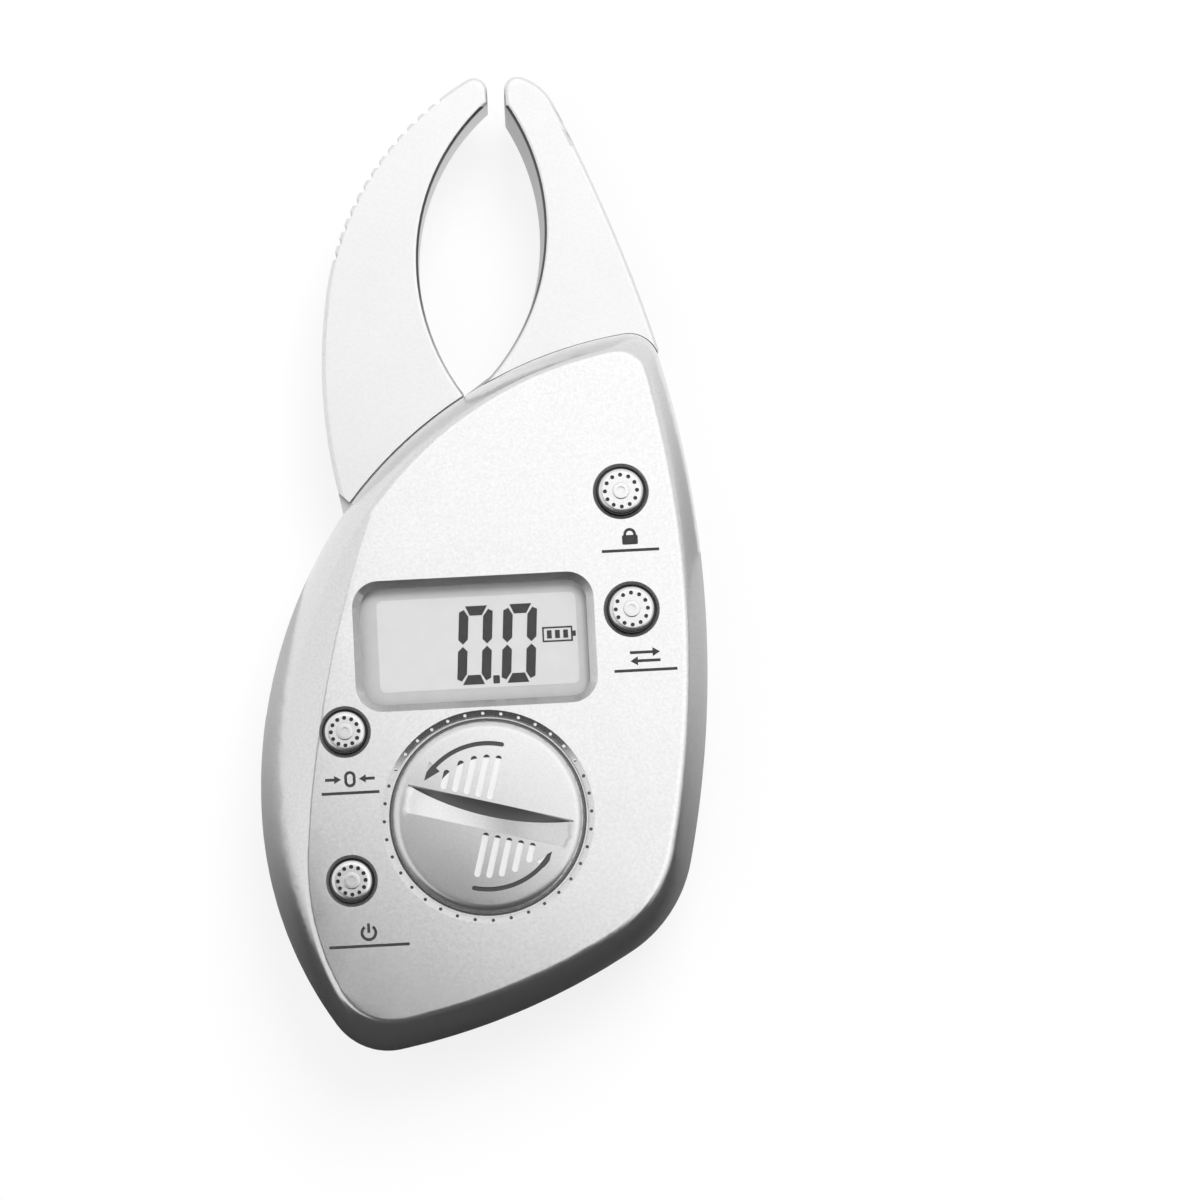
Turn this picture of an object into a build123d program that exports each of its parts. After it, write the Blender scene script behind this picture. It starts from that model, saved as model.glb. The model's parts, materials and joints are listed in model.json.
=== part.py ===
import os
from math import cos, radians, sin

from build123d import *

# Digital skinfold caliper, lying on its back with its display up.
# The origin is where the jaw's pivot axis meets the flat back. +Y points to the jaw tips.

# Casing
case_width = 67.0
case_length = 104.2
face_room = 3.9
wall = 2.0
jaw_corner_radius = 2.2
foot_radius = 9.3
heel_radius = 20.0
shoulder_radius = 4.5
inner_corner_radius = 0.8
face_round = 1.5
back_round = 1.2
lip_height = 1.0
lip_thickness = 0.9

# Clearances
running_clearance = 0.05
seat_clearance = 0.05
loose_clearance = 0.3
screw_clearance = 0.25
overrun = 1.0

# Jaws
jaw_reach = 39.4
jaw_thickness = 8.0
arm_thickness = 4.0
tip_gap = 2.55
tip_round = 2.0
jaw_edge_round = 0.7
opening_angle = 34.0
jaw_case_gap = 0.25
tongue_depth = 12.0
notch_radius = 0.65
notch_pitch = 2.2
notch_count = 14
root_edge_count = 3

# Pivot
hub_radius = 11.0
barrel_radius = 5.2
spring_room = 7.5
pin_radius = 2.0
pin_socket_depth = 3.2
boss_height = 2.2
bush_radius = 3.2
bush_flange_radius = 4.5
bush_flange_thickness = 0.7
washer_radius = 3.9
washer_thickness = 0.4
clip_radius = 3.6
clip_thickness = 0.5
clip_mouth = 2.6
groove_depth = 0.4
pin_end = 0.3
rotor_radius = 13.5
rotor_thickness = 0.8
rotor_hole_radius = 4.5

# Torsion spring
wire_radius = 0.5
coil_radius = 7.0
coil_turns = 3.5
leg_length = 5.6
peg_radius = 0.8
peg_reach = 4.6

# Circuit board
board_gap = 0.7
board_thickness = 1.2
board_margin = 2.0
board_bottom_reach = 18.0
board_top_reach = 52.0
chip_gap = 5.4
chip_radius = 3.6
chip_height = 1.3
switch_size = 4.0
switch_height = 1.6
plunger_radius = 1.1
plunger_height = 0.5

# Battery
cell_radius = 10.0
cell_thickness = 3.2
cell_rim = 0.5
cell_lift = 0.7
cell_clearance = 0.5
cell_ring_thickness = 1.2
contact_thickness = 0.25
contact_width = 4.0
contact_length = 9.0
contact_foot = 3.0

# Battery cover
cap_radius = 14.1
cap_gap = 0.15
rim_gap = 0.5
cap_rise = 0.8
cap_plate = 2.2
cap_round = 1.5
cap_crown = 0.6
skirt_radius = 12.5
skirt_thickness = 1.5
lug_reach = 1.1
lug_thickness = 0.8
lug_angle = 26.0
lug_count = 3
lug_start_angle = 90.0
lug_drop_play = 1.8
ledge_thickness = 1.0
lug_play = 0.2
cap_turn = 45.0
well_thickness = 1.2
slope_width = 0.92
slope_depth = 0.6
pip_radius = 0.24
pip_depth = 0.25
pip_count = 36
slot_length = 25.4
slot_width = 4.1
slot_depth = 3.2
slot_upper_draft = 1.9
slot_lower_draft = 0.25
slot_tilt = -15.3
slot_bar_width = 6.9
cell_play = 0.3
mark_depth = 0.75
mark_width = 0.9
mark_pitch = 1.73
mark_count = 5
mark_first = 0.3
mark_edge = 0.35
mark_reach = 8.95
arrow_radius = 10.6
arrow_width = 0.65
arrow_head_width = 2.1
arrow_start_angle = 91.5
arrow_sweep_angle = 58.0
arrow_head_angle = 14.0

# Display
window_height = 19.2
window_side_margin = 15.07
window_button_gap = 1.98
window_well_gap = 0.42
window_corner_radius = 3.9
window_slope = 1.1
lens_border = 1.0
lens_thickness = 1.2
panel_side_border = 0.9
panel_end_border = 0.75
panel_thickness = 2.2
panel_gap = 0.4
frame_wall = 0.8
frame_corner_radius = 1.2
frame_ledge = 0.8
frame_drop = 0.4
strip_width = 1.8

# Buttons
button_radius = 3.47
small_button_radius = 3.13
hold_margin = 11.83
unit_margin = 11.18
button_rise = 0.7
button_round = 0.8
button_gap = 0.2
button_slope = 0.45
button_slope_depth = 0.3
button_flange = 0.4
button_flange_thickness = 0.5
button_travel = 0.35
button_stem_radius = 1.6
button_boss_radius = 1.25
button_boss_height = 0.2
button_boss_round = 0.15
button_dish_radius = 0.62
button_dish_depth = 0.35
dimple_radius = 0.3
dimple_depth = 0.5
dimple_count = 12
dimple_edge = 1.12

# Case screws
screw_radius = 0.95
screw_head_radius = 1.9
screw_head_height = 1.4
screw_length = 14.0
screw_sink = 3.6
boss_radius = 3.1
post_radius = 2.5
driver_width = 0.7
driver_depth = 0.6

# Board screws
small_screw_radius = 0.7
small_head_radius = 1.4
small_head_height = 0.7
small_screw_length = 4.5
small_post_radius = 1.8

# Places of the casing's outline, as shares of its width and length:
# jaw corner, left side, waist, foot, bottom, heel, right side, shoulder, top
rim_shares = (
    (-0.2737, 0.4597),
    (-0.4424, 0.2571),
    (-0.4977, 0.0004),
    (-0.3015, -0.3229),
    (0.0680, -0.2665),
    (0.4098, -0.1501),
    (0.5023, 0.1980),
    (0.4164, 0.6898),
    (0.0366, 0.6225),
)
face_shares = (
    (-0.2290, 0.4309),
    (-0.3330, 0.2072),
    (-0.3950, -0.0369),
    (-0.2945, -0.2860),
    (0.0728, -0.2300),
    (0.3634, -0.1330),
    (0.4522, 0.2264),
    (0.3806, 0.6511),
    (0.0413, 0.5843),
)

# How far the front cover has closed in at each share of its height
front_profile_shares = ((0.0, 0.0), (0.32, 0.06), (0.72, 0.38), (1.0, 1.0))
cavity_profile_shares = ((0.0, 0.0), (0.36, 0.06), (0.8, 0.36), (1.0, 0.62))
back_profile_shares = ((0.0, 0.0), (0.5, 0.05), (1.0, 0.35))
back_cavity_profile_shares = ((0.0, 0.0), (0.5, 0.04), (1.0, 0.22))
board_close_share = 0.12
chip_round_share = 0.7

# Places of the jaws: shares of the casing's width, of its length and of the jaws' reach
gap_centre_share = 0.0985
shoulder_share = 0.690
moving_outer_shares = (
    (-0.1706, 0.690, 0.697),
    (-0.3046, 0.690, 0.165),
    (-0.3201, 0.620, 0.0),
    (-0.2957, 0.4771, 0.0),
)
moving_inner_shares = (
    (-0.0069, 0.6095, 0.0),
    (-0.0824, 0.690, 0.0898),
    (-0.0918, 0.690, 0.3455),
)
moving_root_shares = ((-0.18, 0.402, 0.0), (0.03, 0.499, 0.0))
moving_tip_shares = (1.035, 0.902)
fixed_outer_shares = (
    (0.2260, 0.690, 0.8906),
    (0.3210, 0.690, 0.502),
    (0.4319, 0.6603, 0.0),
)
fixed_inner_shares = ((0.0149, 0.6095, 0.0), (0.1820, 0.690, 0.470))
fixed_face_inner_shares = ((0.0149, 0.6095, 0.0), (0.1930, 0.690, 0.470))
fixed_root_shares = ((0.37, 0.576, 0.0), (0.06, 0.556, 0.0))
fixed_tip_shares = (1.010, 0.850)
fixed_face_tip_shares = (1.010, 0.896)
arm_joint_shares = ((-0.255, 0.541, 0.0), (-0.06, 0.641, 0.0))
tongue_joint_shares = ((0.395, 0.656, 0.0), (0.37, 0.706, 0.0), (0.075, 0.645, 0.0))
grip_start_share = 0.2

# How far up the casing the buttons lie, and how far the two small ones lie
# from the battery well towards the side
hold_share = 0.4466
unit_share = 0.2795
zero_share = 0.1279
power_share = -0.0798
zero_side_share = 0.480
power_side_share = 0.348

# Places of the chip and the screws, as shares of the casing's width and length
chip_share = 0.03
case_screw_shares = ((0.105, 0.568), (0.335, 0.593), (0.355, -0.089), (-0.335, -0.180))
board_screw_shares = ((-0.322, 0.265), (0.373, 0.368), (-0.24, -0.137), (0.32, 0.077))

# Heights
arm_bottom = wall + spring_room
arm_top = arm_bottom + arm_thickness
seam = arm_bottom + arm_thickness / 2
jaw_bottom = seam - jaw_thickness / 2
rotor_top = arm_top + rotor_thickness
board_bottom = rotor_top + board_gap
board_top = board_bottom + board_thickness
cell_bottom = board_top + cell_lift
cell_top = cell_bottom + cell_thickness
case_depth = cell_top + face_room
ceiling = case_depth - wall
cap_top = case_depth + cap_rise
cap_seat = cap_top - cap_plate
ledge_bottom = cap_seat - ledge_thickness
lug_bottom = ledge_bottom - lug_play - lug_thickness
well_floor = lug_bottom - cap_gap * 2
boss_top = wall + boss_height
bush_bottom = boss_top + running_clearance
lens_top = case_depth - window_slope
lens_bottom = lens_top - lens_thickness
panel_top = lens_bottom - panel_gap
panel_bottom = panel_top - panel_thickness
frame_top = panel_top - frame_drop
switch_top = board_top + switch_height + plunger_height
washer_bottom = arm_top + running_clearance
clip_bottom = washer_bottom + washer_thickness + running_clearance
well_radius = cap_radius + rim_gap
lug_radius = skirt_radius + lug_reach
bore_radius = lug_radius + loose_clearance
well_bottom = well_floor - well_thickness
slope_radius = well_radius + slope_width
cell_ring_radius = cell_radius + cell_clearance


def place(shares):
    """Point of the casing from its shares of width and length."""
    across, along = shares
    return Vector(across * case_width, along * case_length)


def jaw_place(shares):
    """Point of a jaw from its shares of width, length and reach."""
    across, along, reach = shares
    return Vector(across * case_width, along * case_length + reach * jaw_reach)


def tip_place(side, reach_share):
    """Point on the flat end of a jaw, on the left (-1) or right (1) of the gap."""
    across = gap_centre_share * case_width + side * tip_gap / 2
    return Vector(across, shoulder_share * case_length + reach_share * jaw_reach)


def nearest(sketch, point):
    """Corner of a sketch that lies nearest a point."""
    return sketch.vertices().sort_by_distance(point)[0]


def casing_section(height, close_share, inset):
    """Casing outline at a height, from its rim (0) to its face (1), moved inwards by an inset."""
    rim = [place(shares) for shares in rim_shares]
    face = [place(shares) for shares in face_shares]
    points = [start + (end - start) * close_share for start, end in zip(rim, face)]
    jaw_corner, left, waist, foot, bottom, heel, right, shoulder, top = points
    rounds = (
        (jaw_corner, jaw_corner_radius),
        (foot, foot_radius),
        (heel, heel_radius),
        (shoulder, shoulder_radius),
    )
    with BuildSketch(Plane.XY.offset(height)) as section:
        with BuildLine():
            upper_side = ThreePointArc(jaw_corner, left, waist)
            TangentArc(waist, foot, tangent=upper_side % 1)
            ThreePointArc(foot, bottom, heel)
            ThreePointArc(heel, right, shoulder)
            ThreePointArc(shoulder, top, jaw_corner)
        make_face()
        if inset != 0:
            offset(amount=-inset, kind=Kind.INTERSECTION)
        for point, radius in rounds:
            fillet(nearest(section, point), max(radius - inset, inner_corner_radius))
    return section.sketch


def casing_block(from_height, to_height, profile_shares, inset):
    """Solid block of the casing between two heights, closing in as its profile says."""
    with BuildPart() as block:
        for height_share, close_share in profile_shares:
            height = from_height + (to_height - from_height) * height_share
            add(casing_section(height, close_share, inset))
        loft()
    return block.part


def cylinders(radius, bottom, top, places):
    """Round posts between two heights."""
    with BuildPart() as posts:
        with BuildSketch(Plane.XY.offset(bottom)):
            with Locations(*places):
                Circle(radius)
        extrude(amount=top - bottom)
    return posts.part


def ring(outer_radius, inner_radius, bottom, top):
    """Round wall about the pivot axis between two heights."""
    with BuildPart() as wall_ring:
        with BuildSketch(Plane.XY.offset(bottom)):
            Circle(outer_radius)
            Circle(inner_radius, mode=Mode.SUBTRACT)
        extrude(amount=top - bottom)
    return wall_ring.part


def plate(width, height, corner_radius, bottom, top, centre):
    """Flat plate between two heights, with round corners where a radius is given."""
    with BuildPart() as sheet:
        with BuildSketch(Plane.XY.offset(bottom)):
            with Locations(centre):
                if corner_radius > 0:
                    RectangleRounded(width, height, corner_radius)
                else:
                    Rectangle(width, height)
        extrude(amount=top - bottom)
    return sheet.part


def lug_ring(outer_radius, inner_radius, angle, bottom, top, start_angle):
    """Ring sectors evenly spaced round the pivot axis, between two heights."""
    left = Vector(outer_radius, 0).rotate(Axis.Z, angle / 2)
    right = Vector(outer_radius, 0).rotate(Axis.Z, -angle / 2)
    with BuildSketch() as sector:
        with BuildLine():
            Line((0, 0), right)
            ThreePointArc(right, (outer_radius, 0), left)
            Line(left, (0, 0))
        make_face()
        Circle(inner_radius, mode=Mode.SUBTRACT)
    with BuildPart() as sectors:
        with BuildSketch(Plane.XY.offset(bottom)):
            with PolarLocations(0, lug_count, start_angle=start_angle):
                add(sector.sketch)
        extrude(amount=top - bottom)
    return sectors.part


# Profiles of the jaws
with BuildSketch(Plane.XY.offset(jaw_bottom)) as moving_profile:
    tip = tip_place(-1, moving_tip_shares[0])
    tip_foot = tip_place(-1, moving_tip_shares[1])
    outer = [jaw_place(shares) for shares in moving_outer_shares]
    inner = [jaw_place(shares) for shares in moving_inner_shares]
    root = [jaw_place(shares) for shares in moving_root_shares]
    with BuildLine():
        grip_edge = ThreePointArc(tip, outer[0], outer[1])
        ThreePointArc(outer[1], outer[2], outer[3])
        Polyline(outer[3], root[0], root[1], inner[0])
        bow = ThreePointArc(inner[0], inner[1], inner[2])
        TangentArc(inner[2], tip_foot, tangent=bow % 1)
        Line(tip_foot, tip)
    make_face()
    fillet(nearest(moving_profile, tip), tip_round)


def fixed_jaw_profile(height, inner_shares, tip_shares):
    """Outline of the fixed jaw at a height, with its inner edge and tip as given."""
    tip = tip_place(1, tip_shares[0])
    tip_foot = tip_place(1, tip_shares[1])
    outer = [jaw_place(shares) for shares in fixed_outer_shares]
    inner = [jaw_place(shares) for shares in inner_shares]
    root = [jaw_place(shares) for shares in fixed_root_shares]
    with BuildSketch(Plane.XY.offset(height)) as profile:
        with BuildLine():
            Line(tip, tip_foot)
            ThreePointArc(tip_foot, inner[1], inner[0])
            Polyline(inner[0], root[1], root[0], outer[2])
            side = ThreePointArc(outer[2], outer[1], outer[0])
            TangentArc(outer[0], tip, tangent=side % 1)
        make_face()
        fillet(nearest(profile, tip), tip_round)
    return profile.sketch


# The arm runs from the hub to the moving jaw
arm_left_foot = Vector(-hub_radius, 0)
arm_right_foot = Vector(hub_radius, 0)
arm_left_top = jaw_place(moving_outer_shares[-1])
arm_right_top = jaw_place(moving_inner_shares[0])
arm_joint = [jaw_place(shares) for shares in arm_joint_shares]
with BuildSketch(Plane.XY.offset(arm_bottom)) as arm_profile:
    with BuildLine():
        Polyline(arm_left_foot, arm_left_top, *arm_joint, arm_right_top, arm_right_foot, close=True)
    make_face()
    Circle(hub_radius)

# The tongue of the fixed jaw keeps its left edge beside the arm
arm_right_line = (arm_right_foot - arm_right_top).normalized()
stop_step = arm_right_line.rotate(Axis.Z, 90) * loose_clearance
tongue_left_top = arm_right_top + stop_step
tongue_left_foot = tongue_left_top + arm_right_line * tongue_depth
tongue_joint = [jaw_place(shares) for shares in tongue_joint_shares]
tongue_right_foot = Vector(tongue_joint[0].X, tongue_left_foot.Y)
with BuildSketch(Plane.XY.offset(arm_bottom)) as tongue_profile:
    with BuildLine():
        Polyline(tongue_left_foot, tongue_left_top, *reversed(tongue_joint), tongue_right_foot, close=True)
    make_face()

# Way that the arm needs through the casing's wall, from closed to fully open
way_start = arm_right_top + (arm_right_top - arm_right_foot).normalized() * case_length
way_end = arm_left_top + (arm_left_top - arm_left_foot).normalized() * case_length
way_middle = way_start.rotate(Axis.Z, opening_angle)
with BuildSketch(Plane.XY.offset(arm_bottom - loose_clearance)) as arm_way:
    with BuildLine():
        Polyline(
            arm_right_foot,
            way_start,
            way_middle,
            way_end.rotate(Axis.Z, opening_angle),
            arm_left_foot.rotate(Axis.Z, opening_angle),
            close=True,
        )
    make_face()
    offset(amount=loose_clearance, kind=Kind.INTERSECTION)

with BuildPart() as jaw_ways:
    add(arm_way.sketch)
    extrude(amount=arm_thickness + 2 * loose_clearance)
    with BuildSketch(Plane.XY.offset(arm_bottom - seat_clearance)):
        add(tongue_profile.sketch)
        offset(amount=seat_clearance, kind=Kind.INTERSECTION)
    extrude(amount=arm_thickness + 2 * seat_clearance)


def small_button_place(along_share, side_share):
    """Centre of a small button, in the room between the battery well and the casing's left side."""
    along = along_share * case_length
    well_edge = -(max(slope_radius**2 - along**2, 0) ** 0.5)
    return Vector(well_edge + (left_side - well_edge) * side_share, along)


def button(centre, radius):
    """Round push cap with a retaining flange, a stem, a ring of dimples and a dished centre boss."""
    top = case_depth + button_rise
    flange_top = ceiling - running_clearance
    flange_bottom = flange_top - button_flange_thickness
    stem_bottom = switch_top + button_travel + running_clearance
    with BuildPart() as cap:
        add(cylinders(radius, flange_top, top, [centre]))
        fillet(cap.faces().sort_by(Axis.Z)[-1].edges(), button_round)
        add(cylinders(radius + button_flange, flange_bottom, flange_top, [centre]))
        add(cylinders(button_stem_radius, stem_bottom, flange_bottom, [centre]))
        with BuildSketch(Plane.XY.offset(top)):
            with Locations(centre):
                with PolarLocations(radius - dimple_edge, dimple_count):
                    Circle(dimple_radius)
        extrude(amount=-dimple_depth, mode=Mode.SUBTRACT)
        boss_face = top + button_boss_height
        add(cylinders(button_boss_radius, top, boss_face, [centre]))
        fillet(cap.faces().sort_by(Axis.Z)[-1].edges(), button_boss_round)
        add(cylinders(button_dish_radius, boss_face - button_dish_depth, boss_face, [centre]), mode=Mode.SUBTRACT)
    return cap.part


def round_front_edge(block):
    """Rounds a jaw's front edge, but for the straight edges at its root."""
    front_edges = block.faces().sort_by(Axis.Z)[-1].edges()
    fillet(front_edges.sort_by(Axis.Y)[root_edge_count:], jaw_edge_round)


# Places on the casing
left_side = min(across for across, along in rim_shares) * case_width
right_side = max(across for across, along in rim_shares) * case_width
hold = Vector(right_side - hold_margin, hold_share * case_length)
unit = Vector(right_side - unit_margin, unit_share * case_length)
zero = small_button_place(zero_share, zero_side_share)
power = small_button_place(power_share, power_side_share)
window_left = left_side + window_side_margin
window_right = unit.X - button_radius - window_button_gap
window_width = window_right - window_left
display = Vector((window_left + window_right) / 2, slope_radius + window_well_gap + window_height / 2)
case_screw_places = [place(shares) for shares in case_screw_shares]
board_screw_places = [place(shares) for shares in board_screw_shares]
buttons = (
    ("hold_button", hold, button_radius),
    ("unit_button", unit, button_radius),
    ("zero_button", zero, small_button_radius),
    ("power_button", power, small_button_radius),
)

# Sizes of the display's layers
opening_width = window_width - 2 * window_slope
opening_height = window_height - 2 * window_slope
lens_width = opening_width + 2 * lens_border
lens_height = opening_height + 2 * lens_border
opening_corner_radius = window_corner_radius - window_slope
lens_corner_radius = opening_corner_radius + lens_border
panel_width = opening_width + 2 * panel_side_border
panel_height = opening_height + 2 * panel_end_border
frame_room_width = panel_width + 2 * seat_clearance
frame_room_height = panel_height + 2 * seat_clearance
outer_width = frame_room_width + 2 * frame_wall
outer_height = frame_room_height + 2 * frame_wall

# Hollow of the front cover, with its posts and walls left standing
front_hollow = casing_block(seam, ceiling, cavity_profile_shares, wall)
post_hole_top = screw_sink + screw_length + loose_clearance
cell_ring_bottom = board_top + loose_clearance
with BuildPart() as front_room:
    add(front_hollow)
    add(cylinders(post_radius, seam, ceiling, case_screw_places), mode=Mode.SUBTRACT)
    add(cylinders(small_post_radius, board_top, ceiling, board_screw_places), mode=Mode.SUBTRACT)
    add(cylinders(bore_radius + well_thickness, well_bottom, ceiling, [(0, 0)]), mode=Mode.SUBTRACT)
    ring_outer = cell_ring_radius + cell_ring_thickness
    add(cylinders(ring_outer, cell_ring_bottom, well_bottom, [(0, 0)]), mode=Mode.SUBTRACT)

# Battery well: ring, floor, bore, ledge, seat and sloping rim in one turned profile
with BuildPart() as battery_well:
    with BuildSketch(Plane.XZ):
        with BuildLine():
            Polyline(
                (0, cell_ring_bottom - overrun),
                (cell_ring_radius, cell_ring_bottom - overrun),
                (cell_ring_radius, well_floor),
                (bore_radius, well_floor),
                (bore_radius, ledge_bottom),
                (skirt_radius + cap_gap, ledge_bottom),
                (skirt_radius + cap_gap, cap_seat),
                (well_radius, cap_seat),
                (well_radius, case_depth - slope_depth),
                (slope_radius, case_depth),
                (slope_radius, case_depth + overrun),
                (0, case_depth + overrun),
                close=True,
            )
        make_face()
    revolve(axis=Axis.Z)

# Notch in the battery's ring for the side contact
notch_length = contact_foot + cell_ring_thickness
notch_centre = (cell_radius + notch_length / 2, 0)
notch_width = contact_width + 2 * loose_clearance
contact_notch = plate(notch_length, notch_width, 0, board_top, well_bottom, notch_centre)

with BuildPart() as front_cover:
    add(casing_block(seam, case_depth, front_profile_shares, 0))
    fillet(front_cover.faces().sort_by(Axis.Z)[-1].edges(), face_round)
    add(front_room.part, mode=Mode.SUBTRACT)
    add(jaw_ways.part, mode=Mode.SUBTRACT)
    add(contact_notch, mode=Mode.SUBTRACT)
    # display window
    with BuildSketch(Plane.XY.offset(case_depth)):
        with Locations(display):
            RectangleRounded(window_width, window_height, window_corner_radius)
    with BuildSketch(Plane.XY.offset(lens_top)):
        with Locations(display):
            RectangleRounded(opening_width, opening_height, opening_corner_radius)
    loft(mode=Mode.SUBTRACT)
    with BuildSketch(Plane.XY.offset(lens_top)):
        with Locations(display):
            pocket_width = lens_width + 2 * seat_clearance
            pocket_height = lens_height + 2 * seat_clearance
            RectangleRounded(pocket_width, pocket_height, lens_corner_radius + seat_clearance)
    extrude(amount=-(lens_top - ceiling) - overrun, mode=Mode.SUBTRACT)
    # battery well, with room for the cover's lugs to drop in
    add(battery_well.part, mode=Mode.SUBTRACT)
    lug_room_angle = lug_angle + lug_drop_play
    lug_drop_angle = lug_start_angle + cap_turn
    lug_room = lug_ring(bore_radius, skirt_radius, lug_room_angle, ledge_bottom, cap_seat, lug_drop_angle)
    add(lug_room, mode=Mode.SUBTRACT)
    # dimples round the battery opening
    with BuildSketch(Plane.XY.offset(case_depth)):
        with PolarLocations((well_radius + slope_radius) / 2, pip_count):
            Circle(pip_radius)
    extrude(amount=-slope_depth / 2 - pip_depth, mode=Mode.SUBTRACT)
    # button holes, widened at the face
    for name, centre, radius in buttons:
        hole_radius = radius + button_gap
        with BuildSketch(Plane.XY.offset(ceiling)):
            with Locations(centre):
                Circle(hole_radius)
        extrude(amount=wall, mode=Mode.SUBTRACT)
        with BuildSketch(Plane.XY.offset(case_depth)):
            with Locations(centre):
                Circle(hole_radius + button_slope)
        with BuildSketch(Plane.XY.offset(case_depth - button_slope_depth)):
            with Locations(centre):
                Circle(hole_radius)
        loft(mode=Mode.SUBTRACT)
    # screw holes in the posts
    with BuildSketch(Plane.XY.offset(seam)):
        with Locations(*case_screw_places):
            Circle(screw_radius)
    extrude(amount=post_hole_top - seam, mode=Mode.SUBTRACT)
    with BuildSketch(Plane.XY.offset(board_top)):
        with Locations(*board_screw_places):
            Circle(small_screw_radius)
    extrude(amount=small_screw_length, mode=Mode.SUBTRACT)

# Back cover
lip_gap = 2 * seat_clearance
lip_root = 2 * lip_height
peg_x = coil_radius + wire_radius + running_clearance + peg_radius
coil_bottom = wall + wire_radius + loose_clearance
coil_pitch = (spring_room - 2 * wire_radius - 3 * loose_clearance) / coil_turns
with BuildPart() as back_room:
    add(casing_block(seam, wall, back_cavity_profile_shares, wall))
    add(cylinders(boss_radius, wall, seam, case_screw_places), mode=Mode.SUBTRACT)
    add(cylinders(bush_flange_radius, wall, boss_top, [(0, 0)]), mode=Mode.SUBTRACT)
    peg_top = coil_bottom + wire_radius + peg_radius
    add(cylinders(peg_radius, wall, peg_top, [(peg_x, -peg_reach)]), mode=Mode.SUBTRACT)

with BuildPart() as back_cover:
    add(casing_block(seam, 0, back_profile_shares, 0))
    fillet(back_cover.faces().sort_by(Axis.Z)[0].edges(), back_round)
    add(back_room.part, mode=Mode.SUBTRACT)
    # lip inside the front cover
    with BuildSketch(Plane.XY.offset(seam - lip_root)):
        add(casing_section(seam - lip_root, 0, wall - lip_gap))
        add(casing_section(seam - lip_root, 0, wall + lip_gap + lip_thickness), mode=Mode.SUBTRACT)
    extrude(amount=lip_root)
    with BuildSketch(Plane.XY.offset(seam)):
        add(casing_section(seam, 0, wall + lip_gap))
        add(casing_section(seam, 0, wall + lip_gap + lip_thickness), mode=Mode.SUBTRACT)
    extrude(amount=lip_height)
    add(jaw_ways.part, mode=Mode.SUBTRACT)
    # screw holes and pin socket
    with BuildSketch(Plane.XY):
        with Locations(*case_screw_places):
            Circle(screw_head_radius + screw_clearance)
    extrude(amount=screw_sink, mode=Mode.SUBTRACT)
    with BuildSketch(Plane.XY.offset(screw_sink)):
        with Locations(*case_screw_places):
            Circle(screw_radius + screw_clearance)
    extrude(amount=seam - screw_sink, mode=Mode.SUBTRACT)
    with BuildSketch(Plane.XY.offset(boss_top)):
        Circle(pin_radius)
    extrude(amount=-pin_socket_depth, mode=Mode.SUBTRACT)

# Moving jaw with its arm and hub
with BuildPart() as moving_jaw:
    add(moving_profile.sketch)
    extrude(amount=jaw_thickness)
    round_front_edge(moving_jaw)
    for step in range(notch_count):
        spot = grip_edge @ (grip_start_share + step * notch_pitch / grip_edge.length)
        with BuildSketch(Plane.XY.offset(jaw_bottom)):
            with Locations(spot):
                Circle(notch_radius)
        extrude(amount=jaw_thickness, mode=Mode.SUBTRACT)
    add(casing_block(seam, case_depth, front_profile_shares, -jaw_case_gap), mode=Mode.SUBTRACT)
    add(casing_block(seam, 0, back_profile_shares, -jaw_case_gap), mode=Mode.SUBTRACT)
    add(arm_profile.sketch)
    extrude(amount=arm_thickness)
    with BuildSketch(Plane.XY.offset(bush_bottom + bush_flange_thickness)):
        Circle(barrel_radius)
    extrude(amount=arm_bottom - bush_bottom - bush_flange_thickness)
    with BuildSketch(Plane.XY.offset(bush_bottom)):
        Circle(bush_radius)
    extrude(amount=arm_top - bush_bottom, mode=Mode.SUBTRACT)
    with BuildSketch(Plane.XY.offset(arm_bottom)):
        with Locations((-peg_x, -peg_reach)):
            Circle(peg_radius)
    extrude(amount=-2 * peg_radius)

# Fixed jaw with the tongue that the covers clamp
with BuildPart() as fixed_jaw:
    add(fixed_jaw_profile(jaw_bottom, fixed_inner_shares, fixed_tip_shares))
    add(fixed_jaw_profile(jaw_bottom + jaw_thickness, fixed_face_inner_shares, fixed_face_tip_shares))
    loft()
    round_front_edge(fixed_jaw)
    fixed_jaw_gap = 2 * seat_clearance
    add(casing_block(seam, case_depth, front_profile_shares, -fixed_jaw_gap), mode=Mode.SUBTRACT)
    add(casing_block(seam, 0, back_profile_shares, -fixed_jaw_gap), mode=Mode.SUBTRACT)
    add(tongue_profile.sketch)
    extrude(amount=arm_thickness)
    tongue_holes = cylinders(boss_radius + 2 * seat_clearance, arm_bottom, arm_top, case_screw_places[:2])
    add(tongue_holes, mode=Mode.SUBTRACT)

# Pivot pin, with a groove for its clip
pin_bottom = boss_top - pin_socket_depth
clip_top = clip_bottom + clip_thickness
pin_top = clip_top + pin_end
with BuildPart() as pivot_pin:
    add(cylinders(pin_radius, pin_bottom, pin_top, [(0, 0)]))
    groove_bottom = clip_bottom - running_clearance
    groove_top = clip_top + running_clearance
    add(ring(pin_radius + overrun, pin_radius - groove_depth, groove_bottom, groove_top), mode=Mode.SUBTRACT)
    chamfer(pivot_pin.faces().sort_by(Axis.Z)[-1].edges(), pin_end / 2)

# Flanged bush in the hub
with BuildPart() as pivot_bush:
    add(cylinders(bush_radius, bush_bottom, arm_top, [(0, 0)]))
    add(cylinders(bush_flange_radius, bush_bottom, bush_bottom + bush_flange_thickness, [(0, 0)]))
    add(cylinders(pin_radius + running_clearance, bush_bottom, arm_top, [(0, 0)]), mode=Mode.SUBTRACT)

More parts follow.
